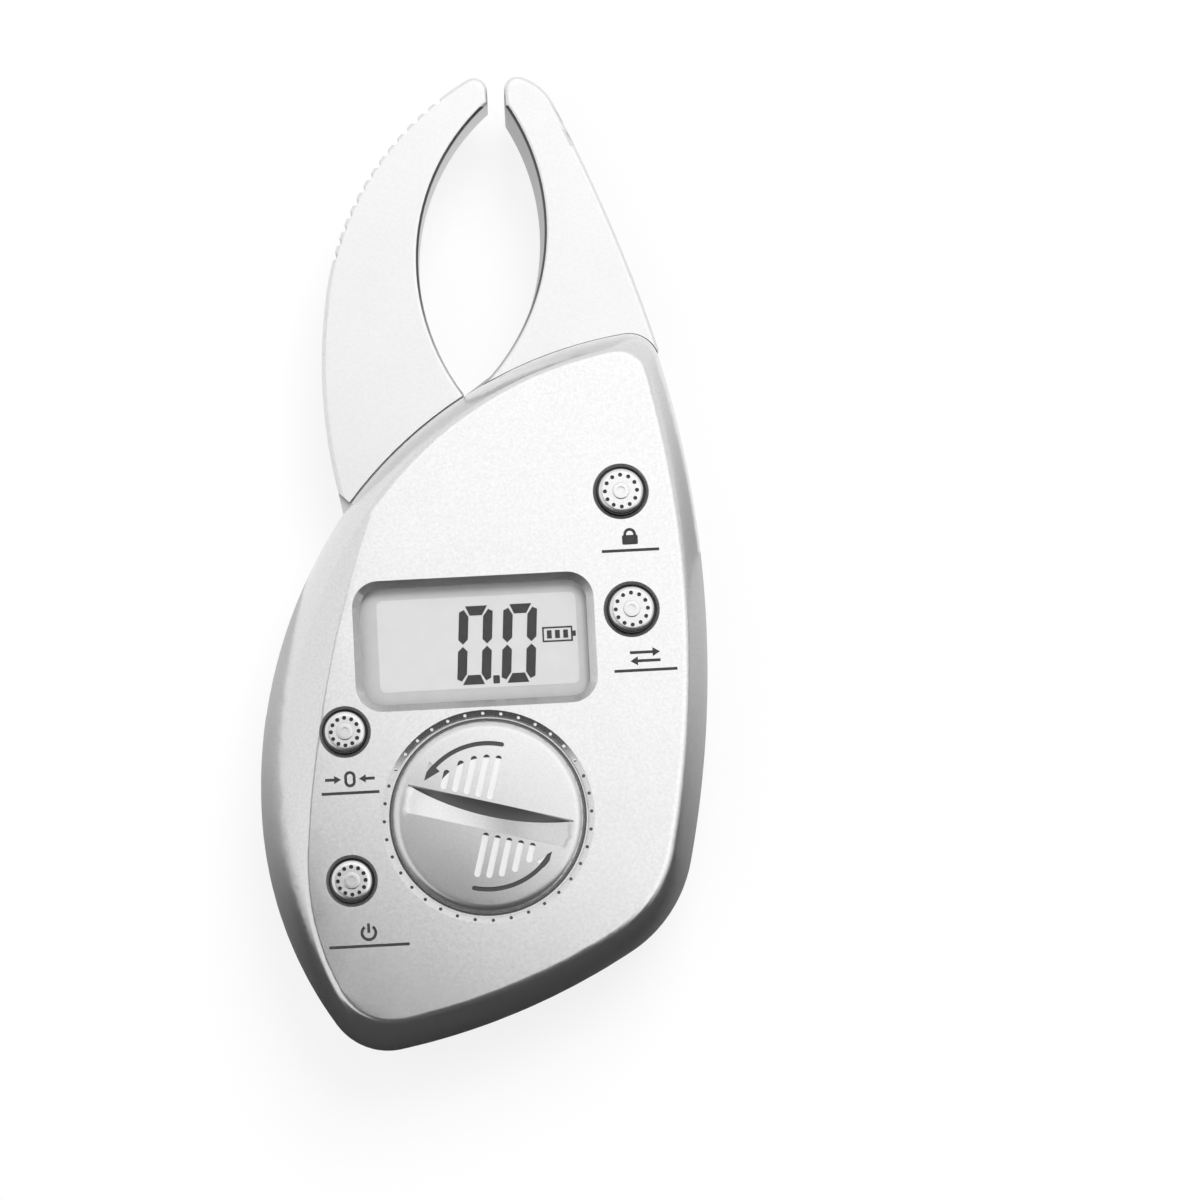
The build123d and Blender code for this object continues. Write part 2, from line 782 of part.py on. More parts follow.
with BuildPart() as thrust_washer:
    add(ring(washer_radius, pin_radius + running_clearance, washer_bottom, washer_bottom + washer_thickness))

# Open clip in the pin's groove
with BuildPart() as retaining_clip:
    add(ring(clip_radius, pin_radius - groove_depth + running_clearance, clip_bottom, clip_top))
    mouth = plate(clip_mouth, clip_radius, 0, clip_bottom, clip_top, (0, -clip_radius / 2))
    add(mouth, mode=Mode.SUBTRACT)

# Turning half of the measuring scale
with BuildPart() as rotor_disc:
    add(ring(rotor_radius, rotor_hole_radius, arm_top, rotor_top))

# Torsion spring, one straight leg at each end
with BuildPart() as torsion_spring:
    with BuildLine() as spring_path:
        coil = Helix(coil_pitch, coil_pitch * coil_turns, coil_radius, center=(0, 0, coil_bottom))
        lower_leg = Line((coil @ 0) - (coil % 0) * leg_length, coil @ 0)
        Line(coil @ 1, (coil @ 1) + (coil % 1) * leg_length)
    with BuildSketch(Plane(origin=lower_leg @ 0, z_dir=lower_leg % 0)):
        Circle(wire_radius)
    sweep(path=spring_path.wires()[0])
print("least gap between the spring's turns:", round(coil_pitch - 2 * wire_radius, 2))

# Circuit board, cut clear of the casing's posts
with BuildPart() as circuit_board:
    with BuildSketch(Plane.XY.offset(board_bottom)):
        add(casing_section(0, board_close_share, wall + board_margin))
        board_reach = board_top_reach + board_bottom_reach
        with Locations((0, (board_top_reach - board_bottom_reach) / 2)):
            Rectangle(2 * case_width, board_reach, mode=Mode.INTERSECT)
        with Locations(*case_screw_places):
            Circle(post_radius + loose_clearance, mode=Mode.SUBTRACT)
        with Locations(*board_screw_places):
            Circle(small_screw_radius + screw_clearance, mode=Mode.SUBTRACT)
    extrude(amount=board_thickness)

chip_along = display.Y + outer_height / 2 + chip_gap + chip_radius
with BuildPart() as chip_cover:
    add(cylinders(chip_radius, board_top, board_top + chip_height, [(chip_share * case_width, chip_along)]))
    fillet(chip_cover.faces().sort_by(Axis.Z)[-1].edges(), chip_height * chip_round_share)

switch_places = [centre for name, centre, radius in buttons]
with BuildPart() as switches:
    with BuildSketch(Plane.XY.offset(board_top)):
        with Locations(*switch_places):
            Rectangle(switch_size, switch_size)
    extrude(amount=switch_height)
    add(cylinders(plunger_radius, board_top + switch_height, switch_top, switch_places))

# Display: clear plate, panel, frame and rubber strips
with BuildPart() as display_window:
    add(plate(lens_width, lens_height, lens_corner_radius, lens_bottom, lens_top, display))

with BuildPart() as lcd_panel:
    add(plate(panel_width, panel_height, 0, panel_bottom, panel_top, display))

ledge_room_width = frame_room_width - 2 * frame_ledge
with BuildPart() as lcd_frame:
    add(plate(outer_width, outer_height, frame_corner_radius, board_top, frame_top, display))
    add(plate(frame_room_width, frame_room_height, 0, panel_bottom, frame_top, display), mode=Mode.SUBTRACT)
    add(plate(ledge_room_width, frame_room_height, 0, board_top, panel_bottom, display), mode=Mode.SUBTRACT)

with BuildPart() as zebra_strips:
    strip_shift = panel_height / 2 - strip_width / 2
    strip_length = ledge_room_width - 2 * loose_clearance
    for side in (-1, 1):
        strip_centre = display + Vector(0, side * strip_shift)
        add(plate(strip_length, strip_width, 0, board_top, panel_bottom, strip_centre))

# Battery and its contacts
with BuildPart() as coin_cell:
    add(cylinders(cell_radius, cell_bottom, cell_top, [(0, 0)]))
    chamfer(coin_cell.faces().sort_by(Axis.Z)[0].edges(), cell_rim)

half_contact = contact_length / 2
inner_foot = half_contact - 2 * contact_thickness
with BuildPart() as negative_contact:
    with BuildSketch(Plane.XZ.offset(-contact_width / 2)):
        with BuildLine():
            ThreePointArc((-half_contact, board_top), (0, cell_bottom), (half_contact, board_top))
            Line((half_contact, board_top), (inner_foot, board_top))
            ThreePointArc((inner_foot, board_top), (0, cell_bottom - contact_thickness), (-inner_foot, board_top))
            Line((-inner_foot, board_top), (-half_contact, board_top))
        make_face()
    extrude(amount=contact_width)

tab_left = cell_radius + running_clearance
tab_top = well_bottom - loose_clearance
with BuildPart() as positive_contact:
    tab_centre = (tab_left + contact_thickness / 2, 0)
    add(plate(contact_thickness, contact_width, 0, board_top, tab_top, tab_centre))
    foot_centre = (tab_left + contact_foot / 2, 0)
    add(plate(contact_foot, contact_width, 0, board_top, board_top + contact_thickness, foot_centre))

# Coin slot of the battery cover: an arc floor between a wide slope and a steep side
slot_direction = Vector(cos(radians(slot_tilt)), sin(radians(slot_tilt)), 0)
slot_side = slot_direction.rotate(Axis.Z, -90)
with BuildPart() as slot_sides:
    with BuildSketch(Plane(origin=(0, 0, cap_top), x_dir=slot_direction, z_dir=(0, 0, 1))):
        Rectangle(slot_length, slot_width)
    with BuildSketch(Plane(origin=(0, 0, cap_top - slot_depth), x_dir=slot_direction, z_dir=(0, 0, 1))):
        with Locations((0, (slot_lower_draft - slot_upper_draft) / 2)):
            Rectangle(slot_length, slot_width - slot_upper_draft - slot_lower_draft)
    loft()
with BuildPart() as coin_slot:
    with BuildSketch(Plane(origin=(0, 0, cap_top), x_dir=slot_direction, z_dir=slot_side)):
        with BuildLine():
            ThreePointArc((-slot_length / 2, 0), (0, -slot_depth), (slot_length / 2, 0))
            Line((slot_length / 2, 0), (-slot_length / 2, 0))
        make_face()
    extrude(amount=slot_width, both=True)
    add(slot_sides.part, mode=Mode.INTERSECT)

# Grip grooves and turning arrow on one half of the battery cover
head_angle = arrow_start_angle + arrow_sweep_angle
arrow_end = Vector(arrow_radius, 0).rotate(Axis.Z, head_angle)
head_side = arrow_end.normalized() * (arrow_head_width / 2)
arrow_tip = arrow_end.rotate(Axis.Z, arrow_head_angle)
with BuildSketch() as marks:
    for step in range(mark_count):
        across = -mark_first - step * mark_pitch
        low = slot_width / 2 + mark_edge
        high = (mark_reach**2 - across**2) ** 0.5
        with Locations((across, (low + high) / 2)):
            SlotOverall(high - low, mark_width, rotation=90)
    with BuildLine():
        shaft = CenterArc((0, 0), arrow_radius, arrow_start_angle, arrow_sweep_angle)
        offset(amount=arrow_width / 2, kind=Kind.ARC)
    make_face()
    with BuildLine():
        Polyline(arrow_end - head_side, arrow_end + head_side, arrow_tip, close=True)
    make_face()

# Battery cover: crowned disc, skirt, lugs and a bar under the slot
with BuildPart() as battery_cover:
    with BuildSketch(Plane.XZ):
        with BuildLine():
            Polyline((0, cap_top), (0, cap_seat), (cap_radius, cap_seat), (cap_radius, cap_top - cap_crown))
            crown_middle = (cap_radius / 2, cap_top - cap_crown / 4)
            ThreePointArc((cap_radius, cap_top - cap_crown), crown_middle, (0, cap_top))
        make_face()
    revolve(axis=Axis.Z)
    fillet(battery_cover.faces().sort_by(Axis.Z)[-1].edges(), cap_round)
    skirt_inner_radius = skirt_radius - skirt_thickness
    add(ring(skirt_radius, skirt_inner_radius, lug_bottom, cap_seat))
    lug_top = lug_bottom + lug_thickness
    add(lug_ring(lug_radius, skirt_inner_radius, lug_angle, lug_bottom, lug_top, lug_start_angle))
    bar_bottom = cell_top + cell_play
    with BuildSketch(Plane(origin=(0, 0, bar_bottom), x_dir=slot_direction, z_dir=(0, 0, 1))):
        Circle(skirt_inner_radius)
        Rectangle(2 * cap_radius, slot_bar_width, mode=Mode.INTERSECT)
    extrude(amount=cap_seat - bar_bottom)
    add(coin_slot.part, mode=Mode.SUBTRACT)
    with BuildSketch(Plane(origin=(0, 0, cap_top), x_dir=slot_direction, z_dir=(0, 0, 1))):
        with PolarLocations(0, 2):
            add(marks.sketch)
    extrude(amount=-mark_depth, mode=Mode.SUBTRACT)

# Screws
head_bottom = screw_sink - screw_head_height
with BuildPart() as case_screws:
    add(cylinders(screw_head_radius, head_bottom, screw_sink, case_screw_places))
    add(cylinders(screw_radius, screw_sink, screw_sink + screw_length, case_screw_places))
    with BuildSketch(Plane.XY.offset(head_bottom)):
        with Locations(*case_screw_places):
            Rectangle(screw_head_radius, driver_width)
            Rectangle(driver_width, screw_head_radius)
    extrude(amount=driver_depth, mode=Mode.SUBTRACT)

small_head_bottom = board_bottom - small_head_height
with BuildPart() as board_screws:
    add(cylinders(small_head_radius, small_head_bottom, board_bottom, board_screw_places))
    add(cylinders(small_screw_radius, board_bottom, board_bottom + small_screw_length, board_screw_places))

pieces = [
    ("front_cover", front_cover.part),
    ("back_cover", back_cover.part),
    ("moving_jaw", moving_jaw.part),
    ("fixed_jaw", fixed_jaw.part),
    ("pivot_pin", pivot_pin.part),
    ("pivot_bush", pivot_bush.part),
    ("thrust_washer", thrust_washer.part),
    ("retaining_clip", retaining_clip.part),
    ("rotor_disc", rotor_disc.part),
    ("torsion_spring", torsion_spring.part),
    ("circuit_board", circuit_board.part),
    ("chip_cover", chip_cover.part),
    ("switches", switches.part),
    ("display_window", display_window.part),
    ("lcd_panel", lcd_panel.part),
    ("lcd_frame", lcd_frame.part),
    ("zebra_strips", zebra_strips.part),
    ("coin_cell", coin_cell.part),
    ("negative_contact", negative_contact.part),
    ("positive_contact", positive_contact.part),
    ("battery_cover", battery_cover.part),
    ("case_screws", case_screws.part),
    ("board_screws", board_screws.part),
]
pieces += [(name, button(centre, radius)) for name, centre, radius in buttons]

os.makedirs("parts", exist_ok=True)
for name, solid in pieces:
    solid.label = name
    export_step(solid, "parts/" + name + ".step")
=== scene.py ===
"""Looks of a digital skinfold caliper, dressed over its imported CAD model.

The caliper lies on its back with its display up. All lengths are in metres, in the
frame of the CAD model: the origin is on the jaw's pivot axis, at the casing's flat back.
"""

import json
import logging
import math
from dataclasses import dataclass, field, replace
from enum import Enum
from typing import Any, Callable, Dict, List, Optional, Sequence, Tuple, Union

import bpy
from mathutils import Matrix, Vector

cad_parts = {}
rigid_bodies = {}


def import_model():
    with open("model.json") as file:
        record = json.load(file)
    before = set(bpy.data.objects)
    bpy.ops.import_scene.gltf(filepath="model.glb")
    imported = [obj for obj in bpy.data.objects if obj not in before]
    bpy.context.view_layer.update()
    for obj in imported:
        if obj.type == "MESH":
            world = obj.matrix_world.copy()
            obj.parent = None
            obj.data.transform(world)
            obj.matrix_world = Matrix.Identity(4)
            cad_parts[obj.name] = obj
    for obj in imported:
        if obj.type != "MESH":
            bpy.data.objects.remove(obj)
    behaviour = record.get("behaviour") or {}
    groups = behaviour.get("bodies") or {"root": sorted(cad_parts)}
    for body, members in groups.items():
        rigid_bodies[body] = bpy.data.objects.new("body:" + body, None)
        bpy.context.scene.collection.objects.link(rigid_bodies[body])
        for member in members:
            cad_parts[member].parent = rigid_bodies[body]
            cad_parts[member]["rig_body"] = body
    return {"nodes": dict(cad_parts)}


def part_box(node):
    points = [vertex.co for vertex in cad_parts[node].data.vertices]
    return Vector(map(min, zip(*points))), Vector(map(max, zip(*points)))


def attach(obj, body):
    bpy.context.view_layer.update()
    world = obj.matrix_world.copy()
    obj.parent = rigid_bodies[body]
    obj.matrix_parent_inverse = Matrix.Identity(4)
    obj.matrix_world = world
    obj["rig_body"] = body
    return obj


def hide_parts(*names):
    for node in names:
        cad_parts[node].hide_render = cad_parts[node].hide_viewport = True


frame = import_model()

LOG = logging.getLogger("caliper")
MM = 0.001
Place = Tuple[float, float]
Colour = Tuple[float, float, float]


class Body(Enum):
    """Bodies of the CAD model that the pieces ride on."""

    CASE = "case"
    JAW = "jaw"
    HOLD = "hold_button"
    UNIT = "unit_button"
    ZERO = "zero_button"
    POWER = "power_button"
    COVER = "battery_cover"


# ---- shader building -------------------------------------------------------


class Wire:
    """A socket of a shader tree, with arithmetic that adds Math nodes."""

    def __init__(self, tree: "Tree", socket: bpy.types.NodeSocket) -> None:
        """Wraps one output socket of a tree."""
        self.tree = tree
        self.socket = socket

    def _math(self, operation: str, first: Any, second: Any) -> "Wire":
        """Adds a Math node for two values."""
        return self.tree.node("ShaderNodeMath", {"operation": operation}, {0: first, 1: second})

    def __add__(self, other: Any) -> "Wire":
        """Adds."""
        return self._math("ADD", self, other)

    def __radd__(self, other: Any) -> "Wire":
        """Adds, with a number on the left."""
        return self._math("ADD", other, self)

    def __sub__(self, other: Any) -> "Wire":
        """Subtracts."""
        return self._math("SUBTRACT", self, other)

    def __rsub__(self, other: Any) -> "Wire":
        """Subtracts from a number."""
        return self._math("SUBTRACT", other, self)

    def __mul__(self, other: Any) -> "Wire":
        """Multiplies."""
        return self._math("MULTIPLY", self, other)

    def __rmul__(self, other: Any) -> "Wire":
        """Multiplies, with a number on the left."""
        return self._math("MULTIPLY", other, self)

    def turned(self, other: "Wire") -> "Wire":
        """Angle in radians of the place that has this value up and the other across."""
        return self._math("ARCTAN2", self, other)

    def rest(self) -> "Wire":
        """What is left after the whole number below."""
        return self._math("FRACT", self, 0.0)

    def __gt__(self, other: Any) -> "Wire":
        """One where this is the greater value, else zero."""
        return self._math("GREATER_THAN", self, other)

    def __lt__(self, other: Any) -> "Wire":
        """One where this is the lesser value, else zero; also serves a number on the left of >."""
        return self._math("LESS_THAN", self, other)


class Tree:
    """Node tree of one material or of the world, built by one method."""

    def __init__(self, owner: Any) -> None:
        """Empties the owner's node tree.

        Args:
            owner: A material or a world.
        """
        owner.use_nodes = True
        self.nodes = owner.node_tree.nodes
        self.links = owner.node_tree.links
        self.nodes.clear()

    def node(self, kind: str, settings: Optional[Dict[str, Any]] = None, sockets: Optional[Dict[Any, Any]] = None,
             output: Any = 0) -> Wire:
        """Adds a node.

        Args:
            kind: The node's type.
            settings: Its own settings; "stops" sets a ramp's colours.
            sockets: Values or wires of its input sockets, by name or number.
            output: Name or number of the output that is returned.

        Returns:
            The chosen output as a wire.
        """
        made = self.nodes.new(kind)
        for key, value in (settings or {}).items():
            if key == "stops":
                self._stops(made.color_ramp, value)
            else:
                setattr(made, key, value)
        for key, value in (sockets or {}).items():
            if isinstance(value, Wire):
                self.links.new(value.socket, made.inputs[key])
            else:
                made.inputs[key].default_value = value
        return Wire(self, made.outputs[output] if len(made.outputs) else None)

    @staticmethod
    def _stops(ramp: bpy.types.ColorRamp, stops: Sequence[Tuple[float, float]]) -> None:
        """Sets the grey stops of a colour ramp."""
        while len(ramp.elements) > len(stops):
            ramp.elements.remove(ramp.elements[-1])
        while len(ramp.elements) < len(stops):
            ramp.elements.new(1.0)
        for element, (position, grey) in zip(ramp.elements, stops):
            element.position = position
            element.color = (grey, grey, grey, 1.0)

    def place(self) -> Wire:
        """Object coordinates."""
        return self.node("ShaderNodeTexCoord", output="Object")

    def noise(self, size: float, detail: float = 2.0, stretch: Optional[Colour] = None) -> Wire:
        """Noise of a given grain size.

        Args:
            size: Grain size in metres.
            detail: Number of octaves.
            stretch: Scale of the pattern along each axis.

        Returns:
            The noise's value, about 0.5.
        """
        place = self.place()
        if stretch:
            place = self.node("ShaderNodeMapping", None, {"Vector": place, "Scale": stretch})
        return self.node("ShaderNodeTexNoise", None, {"Vector": place, "Scale": 1.0 / size, "Detail": detail})

    def grade(self, value: Any, span: Place, greys: Place) -> Wire:
        """Smooth change from one grey to another.

        Args:
            value: What the grey depends on.
            span: Values at which the change starts and ends.
            greys: Greys before and after it.

        Returns:
            The grey.
        """
        return self.node("ShaderNodeMapRange", {"interpolation_type": "SMOOTHSTEP"},
                         {"Value": value, "From Min": span[0], "From Max": span[1], "To Min": greys[0], "To Max": greys[1]})

    def blend(self, factor: Any, first: Any, second: Any) -> Wire:
        """Mixes two colours, given as numbers or as wires, by a factor."""
        first, second = (colour if isinstance(colour, Wire) else (*colour, 1.0) for colour in (first, second))
        return self.node("ShaderNodeMix", {"data_type": "RGBA"}, {"Factor": factor, 6: first, 7: second}, output=2)


# ---- finishes --------------------------------------------------------------


@dataclass(frozen=True)
class Finish:
    """Finish of a surface.

    Args:
        name: Name of the material.
        colour: Main colour.
        other: Colour that it varies to.
        metallic: How far it is a metal.
        roughness: Lowest roughness.
        rough_spread: How much the roughness varies.
        grain: Size of the colour's grain in metres.
        bump: Height of the bump in metres.
        bump_grain: Size of the bump's grain in metres.
        stretch: Scale of the grain along each axis, for drawn or brushed metal.
        coat: Weight of a clear coat.
        alpha: Opacity.
    """

    name: str
    colour: Colour
    other: Colour
    metallic: float = 0.0
    roughness: float = 0.4
    rough_spread: float = 0.1
    grain: float = 0.8 * MM
    bump: float = 0.0
    bump_grain: float = 0.25 * MM
    stretch: Optional[Colour] = None
    coat: float = 0.0
    alpha: float = 1.0

    def material(self) -> bpy.types.Material:
        """Makes the material, or returns it if it exists.

        Returns:
            The material.
        """
        if self.name in bpy.data.materials:
            return bpy.data.materials[self.name]
        made = bpy.data.materials.new(self.name)
        tree = Tree(made)
        grain = tree.noise(self.grain, 3.0, self.stretch)
        cloud = tree.noise(self.grain * 25.0, 2.0)
        shade = tree.node("ShaderNodeValToRGB", {"stops": ((0.3, 0.0), (0.7, 1.0))}, {"Fac": grain})
        sockets: Dict[Any, Any] = {
            "Base Color": self._colour(tree, shade),
            "Metallic": self.metallic,
            "Roughness": self.roughness + self.rough_spread * cloud,
            "Coat Weight": self.coat,
            "Coat Roughness": 0.15,
            "Alpha": self.alpha,
        }
        if self.bump > 0.0:
            fine = tree.noise(self.bump_grain, 2.0, self.stretch)
            sockets["Normal"] = tree.node("ShaderNodeBump", None, {"Height": fine, "Distance": self.bump, "Strength": 1.0})
        shader = tree.node("ShaderNodeBsdfPrincipled", None, sockets)
        tree.node("ShaderNodeOutputMaterial", None, {"Surface": shader})
        return made

    def _colour(self, tree: Tree, shade: Wire) -> Any:
        """Colour of the surface, by the shade of its grain."""
        return tree.blend(shade, self.colour, self.other)


@dataclass(frozen=True)
class EdgeShadedFinish(Finish):
    """Finish of a jaw, with painted shade: a dark line painted along its rounded inner edge, and painted shade on its
    walls.

    Args:
        wall_shade_grey: How bright the painted shade on the walls is.
        shade_line_grey: How bright the painted shade line is.
        line_heights: Lower and upper height of the line.
        line_end: Place along the jaw where the line ends.
        middle: Middle of the gap between the jaws.
        reach: Half the width and half the length of the oval in which edges carry the line.
        fade: Places along the jaws from which and up to which the painted shade line grows stronger.
    """

    wall_shade_grey: float = 0.6
    shade_line_grey: float = 0.12
    line_heights: Place = (14.75 * MM, 15.41 * MM)
    line_end: float = 106.9 * MM
    middle: Place = (4.0 * MM, 84.0 * MM)
    reach: Place = (13.0 * MM, 26.0 * MM)
    fade: Place = (66.0 * MM, 82.0 * MM)

    def _colour(self, tree: Tree, shade: Wire) -> Any:
        """Colour of the surface, with the painted shade of the line and the walls mixed in."""
        across, along, up = (tree.node("ShaderNodeSeparateXYZ", None, {0: tree.place()}, output=axis) for axis in "XYZ")
        side = (across - self.middle[0]) * (1.0 / self.reach[0])
        rise = (along - self.middle[1]) * (1.0 / self.reach[1])
        # Painted shade: a dark line along the inner edge's rounding, stronger towards the tips, and darker walls below
        # it.
        within = (1.0 - (side * side + rise * rise > 1.0)) * (self.line_end > along)
        below = self.line_heights[0] > up
        height = (self.line_heights[1] > up) * (1.0 - below)
        strength = tree.grade(along, self.fade, (0.25, 1.0))
        plain = tree.blend(shade, self.colour, self.other)
        wall_shaded = tree.blend(below, plain, (self.wall_shade_grey,) * 3)
        return tree.blend(within * height * strength, wall_shaded, (self.shade_line_grey,) * 3)


@dataclass(frozen=True)
class DimpleShadedFinish(Finish):
    """Finish of a button, with painted shade in the hollows of its top and on its side.

    Args:
        painted_shade_grey: How bright the painted shade in the hollows and on the side is.
        centre: Centre of the button.
        radii: Inner and outer radius of the ring in which the hollows lie, and the radius where the side begins.
        heights: Lower and upper height of the hollows.
    """

    painted_shade_grey: float = 0.06
    centre: Place = (0.0, 0.0)
    radii: Colour = (0.8 * MM, 2.3 * MM, 2.8 * MM)
    heights: Place = (0.0, 0.0)

    def _colour(self, tree: Tree, shade: Wire) -> Any:
        """Colour of the surface, with the painted shade of the hollows and the side mixed in."""
        across, along, up = (tree.node("ShaderNodeSeparateXYZ", None, {0: tree.place()}, output=axis) for axis in "XYZ")
        side, rise = across - self.centre[0], along - self.centre[1]
        squared = side * side + rise * rise
        inner, outer, edge = (radius ** 2 for radius in self.radii)
        # Painted shade: the hollows in the top and the side beyond the edge radius are painted dark.
        hollow = (squared > inner) * (outer > squared) * (up > self.heights[0]) * (self.heights[1] > up)
        dark = hollow + (squared > edge)
        return tree.blend(dark, tree.blend(shade, self.colour, self.other), (self.painted_shade_grey,) * 3)


@dataclass(frozen=True)
class RimShadedFinish(Finish):
    """Finish of the front cover, with painted shade in the pips and in the gap round the battery cover.

    Args:
        painted_shade_grey: How bright the painted shade in the pips and the gap is.
        gap_radius: Outer radius of the gap.
        gap_shade_level: Height below which the gap is painted dark, as painted shade.
        pip_ring: Radius of the circle on which the pips lie.
        pip_radius: Radius of a pip.
        pip_count: Number of pips.
        pip_end: Place along the casing up to which the pips carry painted shade; further up they stay plain.
    """

    painted_shade_grey: float = 0.1
    gap_radius: float = 14.38 * MM
    gap_shade_level: float = 0.0
    pip_ring: float = 15.06 * MM
    pip_radius: float = 0.25 * MM
    pip_count: int = 36
    pip_end: float = 7.5 * MM

    def _colour(self, tree: Tree, shade: Wire) -> Any:
        """Colour of the surface, with the painted shade of the pips and the gap mixed in."""
        across, along, up = (tree.node("ShaderNodeSeparateXYZ", None, {0: tree.place()}, output=axis) for axis in "XYZ")
        squared = across * across + along * along
        # Painted shade: the gap round the battery cover and the pips on the lower part of the ring are painted dark.
        gap = (self.gap_radius ** 2 > squared) * (self.gap_shade_level > up)
        pitch = 2.0 * math.pi / self.pip_count
        aside = ((along.turned(across) * (1.0 / pitch) + 100.5).rest() - 0.5) * (pitch * self.pip_ring)
        outward = (squared - self.pip_ring ** 2) * (0.5 / self.pip_ring)
        pips = (self.pip_radius ** 2 > aside * aside + outward * outward) * (self.pip_end > along)
        return tree.blend(gap + pips, tree.blend(shade, self.colour, self.other), (self.painted_shade_grey,) * 3)


@dataclass(frozen=True)
class MarkShadedFinish(Finish):
    """Finish of the battery cover, with painted light: painted shade in the arrows, a painted highlight in the grooves
    with painted shadow at their ends, and painted shade on the coin slot's steep side.

    Args:
        mark_shade_grey: How bright the painted shade in the arrows and the painted shadow at the grooves' ends are.
        groove_highlight_grey: How bright the painted highlight in the grooves is.
        wall_shade_grey: How bright the painted shade on the slot's steep side is.
        radii: Inner and outer radius of the ring in which the arrows lie.
        groove_ends: Radius beyond which the upper grooves end, and distance from the slot up to which the lower ones
            do.
        top: Height of the cover's middle.
        sunk: How far below the top the hollows begin.
        slot_tilt: Turn of the coin slot in degrees.
        slot_half: Half the width of the coin slot and half the length of its steep side.
        slot_fall: How far the steep side falls over each metre towards the slot's middle.
    """

    mark_shade_grey: float = 0.1
    groove_highlight_grey: float = 0.96
    wall_shade_grey: float = 0.25
    radii: Place = (10.2 * MM, 11.0 * MM)
    groove_ends: Place = (8.55 * MM, 2.75 * MM)
    top: float = 0.0
    sunk: float = 0.48 * MM
    slot_tilt: float = -15.3
    slot_half: Place = (2.05 * MM, 12.3 * MM)
    slot_fall: float = 1.684

    def _colour(self, tree: Tree, shade: Wire) -> Any:
        """Colour of the surface, with the painted shade and painted highlight of the marks and the slot's steep side
        mixed in.
        """
        across, along, up = (tree.node("ShaderNodeSeparateXYZ", None, {0: tree.place()}, output=axis) for axis in "XYZ")
        turn = math.radians(self.slot_tilt)
        off = along * math.cos(turn) - across * math.sin(turn)
        reach = across * math.cos(turn) + along * math.sin(turn)
        squared = across * across + along * along
        # Painted light: shade in the arrows, shadow at the grooves' ends and on the slot's steep side, and a highlight
        # in the grooves.
        hollow = (off * off > (self.slot_half[0] + 0.15 * MM) ** 2) * (self.top - self.sunk > up)
        arrows = (squared > self.radii[0] ** 2) * (self.radii[1] ** 2 > squared)
        grooves = self.radii[0] ** 2 > squared
        upper_ends = grooves * (squared > self.groove_ends[0] ** 2) * (off > 0.0)
        lower_ends = grooves * (off > -self.groove_ends[1]) * (0.0 > off)
        level = (off - self.slot_half[0]) * self.slot_fall + self.top + 0.06 * MM
        wall = (level > up) * (off > 0.0) * (self.slot_half[0] > off) * (self.slot_half[1] ** 2 > reach * reach)
        plain = tree.blend(shade, self.colour, self.other)
        grooved = tree.blend(hollow * grooves, plain, (self.groove_highlight_grey,) * 3)
        marked = tree.blend(hollow * (arrows + upper_ends + lower_ends), grooved, (self.mark_shade_grey,) * 3)
        return tree.blend(wall, marked, (self.wall_shade_grey,) * 3)


SILVER = Finish("silver_paint", (0.69, 0.69, 0.69), (0.76, 0.76, 0.76), metallic=0.92, roughness=0.2, rough_spread=0.04,
                grain=0.35 * MM, bump=0.0015 * MM, bump_grain=0.3 * MM)
FRONT_SILVER = RimShadedFinish("front_paint_with_painted_shade", (0.69, 0.69, 0.69), (0.76, 0.76, 0.76), metallic=0.92, roughness=0.2,
                            rough_spread=0.04, grain=0.35 * MM, bump=0.0015 * MM, bump_grain=0.3 * MM)
# Both jaws carry painted shade; the fixed jaw's walls are painted darker than the moving jaw's.
LEFT_JAW = EdgeShadedFinish("left_jaw_paint_with_painted_shade", (0.74, 0.74, 0.74), (0.78, 0.78, 0.78), metallic=0.85, roughness=0.34,
                       rough_spread=0.06, grain=0.4 * MM, bump=0.002 * MM, bump_grain=0.3 * MM)
RIGHT_JAW = EdgeShadedFinish("right_jaw_paint_with_painted_shade", (0.74, 0.74, 0.74), (0.78, 0.78, 0.78), metallic=0.85, roughness=0.34,
                        rough_spread=0.06, grain=0.4 * MM, bump=0.002 * MM, bump_grain=0.3 * MM, wall_shade_grey=0.38)
WINDOW = Finish("pane_clear", (0.22, 0.22, 0.22), (0.25, 0.25, 0.25), roughness=0.04, rough_spread=0.02, alpha=0.04)
LCD_EDGE = Finish("lcd_edge_grey", (0.50, 0.50, 0.50), (0.53, 0.53, 0.53), roughness=0.45, grain=2.0 * MM)
LCD_FIELD = Finish("lcd_field_grey", (0.63, 0.63, 0.63), (0.66, 0.66, 0.66), roughness=0.45, grain=2.0 * MM)
LCD_INK = Finish("lcd_digit", (0.012, 0.012, 0.012), (0.02, 0.02, 0.02), roughness=0.4)
LABEL_INK = Finish("label_ink", (0.02, 0.02, 0.02), (0.035, 0.035, 0.035), roughness=0.5)
WHITE_PLASTIC = Finish("frame_plastic", (0.80, 0.80, 0.78), (0.84, 0.84, 0.82), roughness=0.45, bump=0.004 * MM)
ACETAL = Finish("bush_acetal", (0.85, 0.84, 0.80), (0.88, 0.87, 0.84), roughness=0.35, bump=0.003 * MM)
RUBBER = Finish("rubber_striped", (0.06, 0.06, 0.065), (0.12, 0.12, 0.125), roughness=0.7, grain=0.3 * MM,
                stretch=(1.0, 0.05, 0.05))
STEEL = Finish("ground_steel", (0.60, 0.60, 0.60), (0.68, 0.68, 0.68), metallic=1.0, roughness=0.22, grain=0.3 * MM,
               stretch=(0.1, 0.1, 1.0))
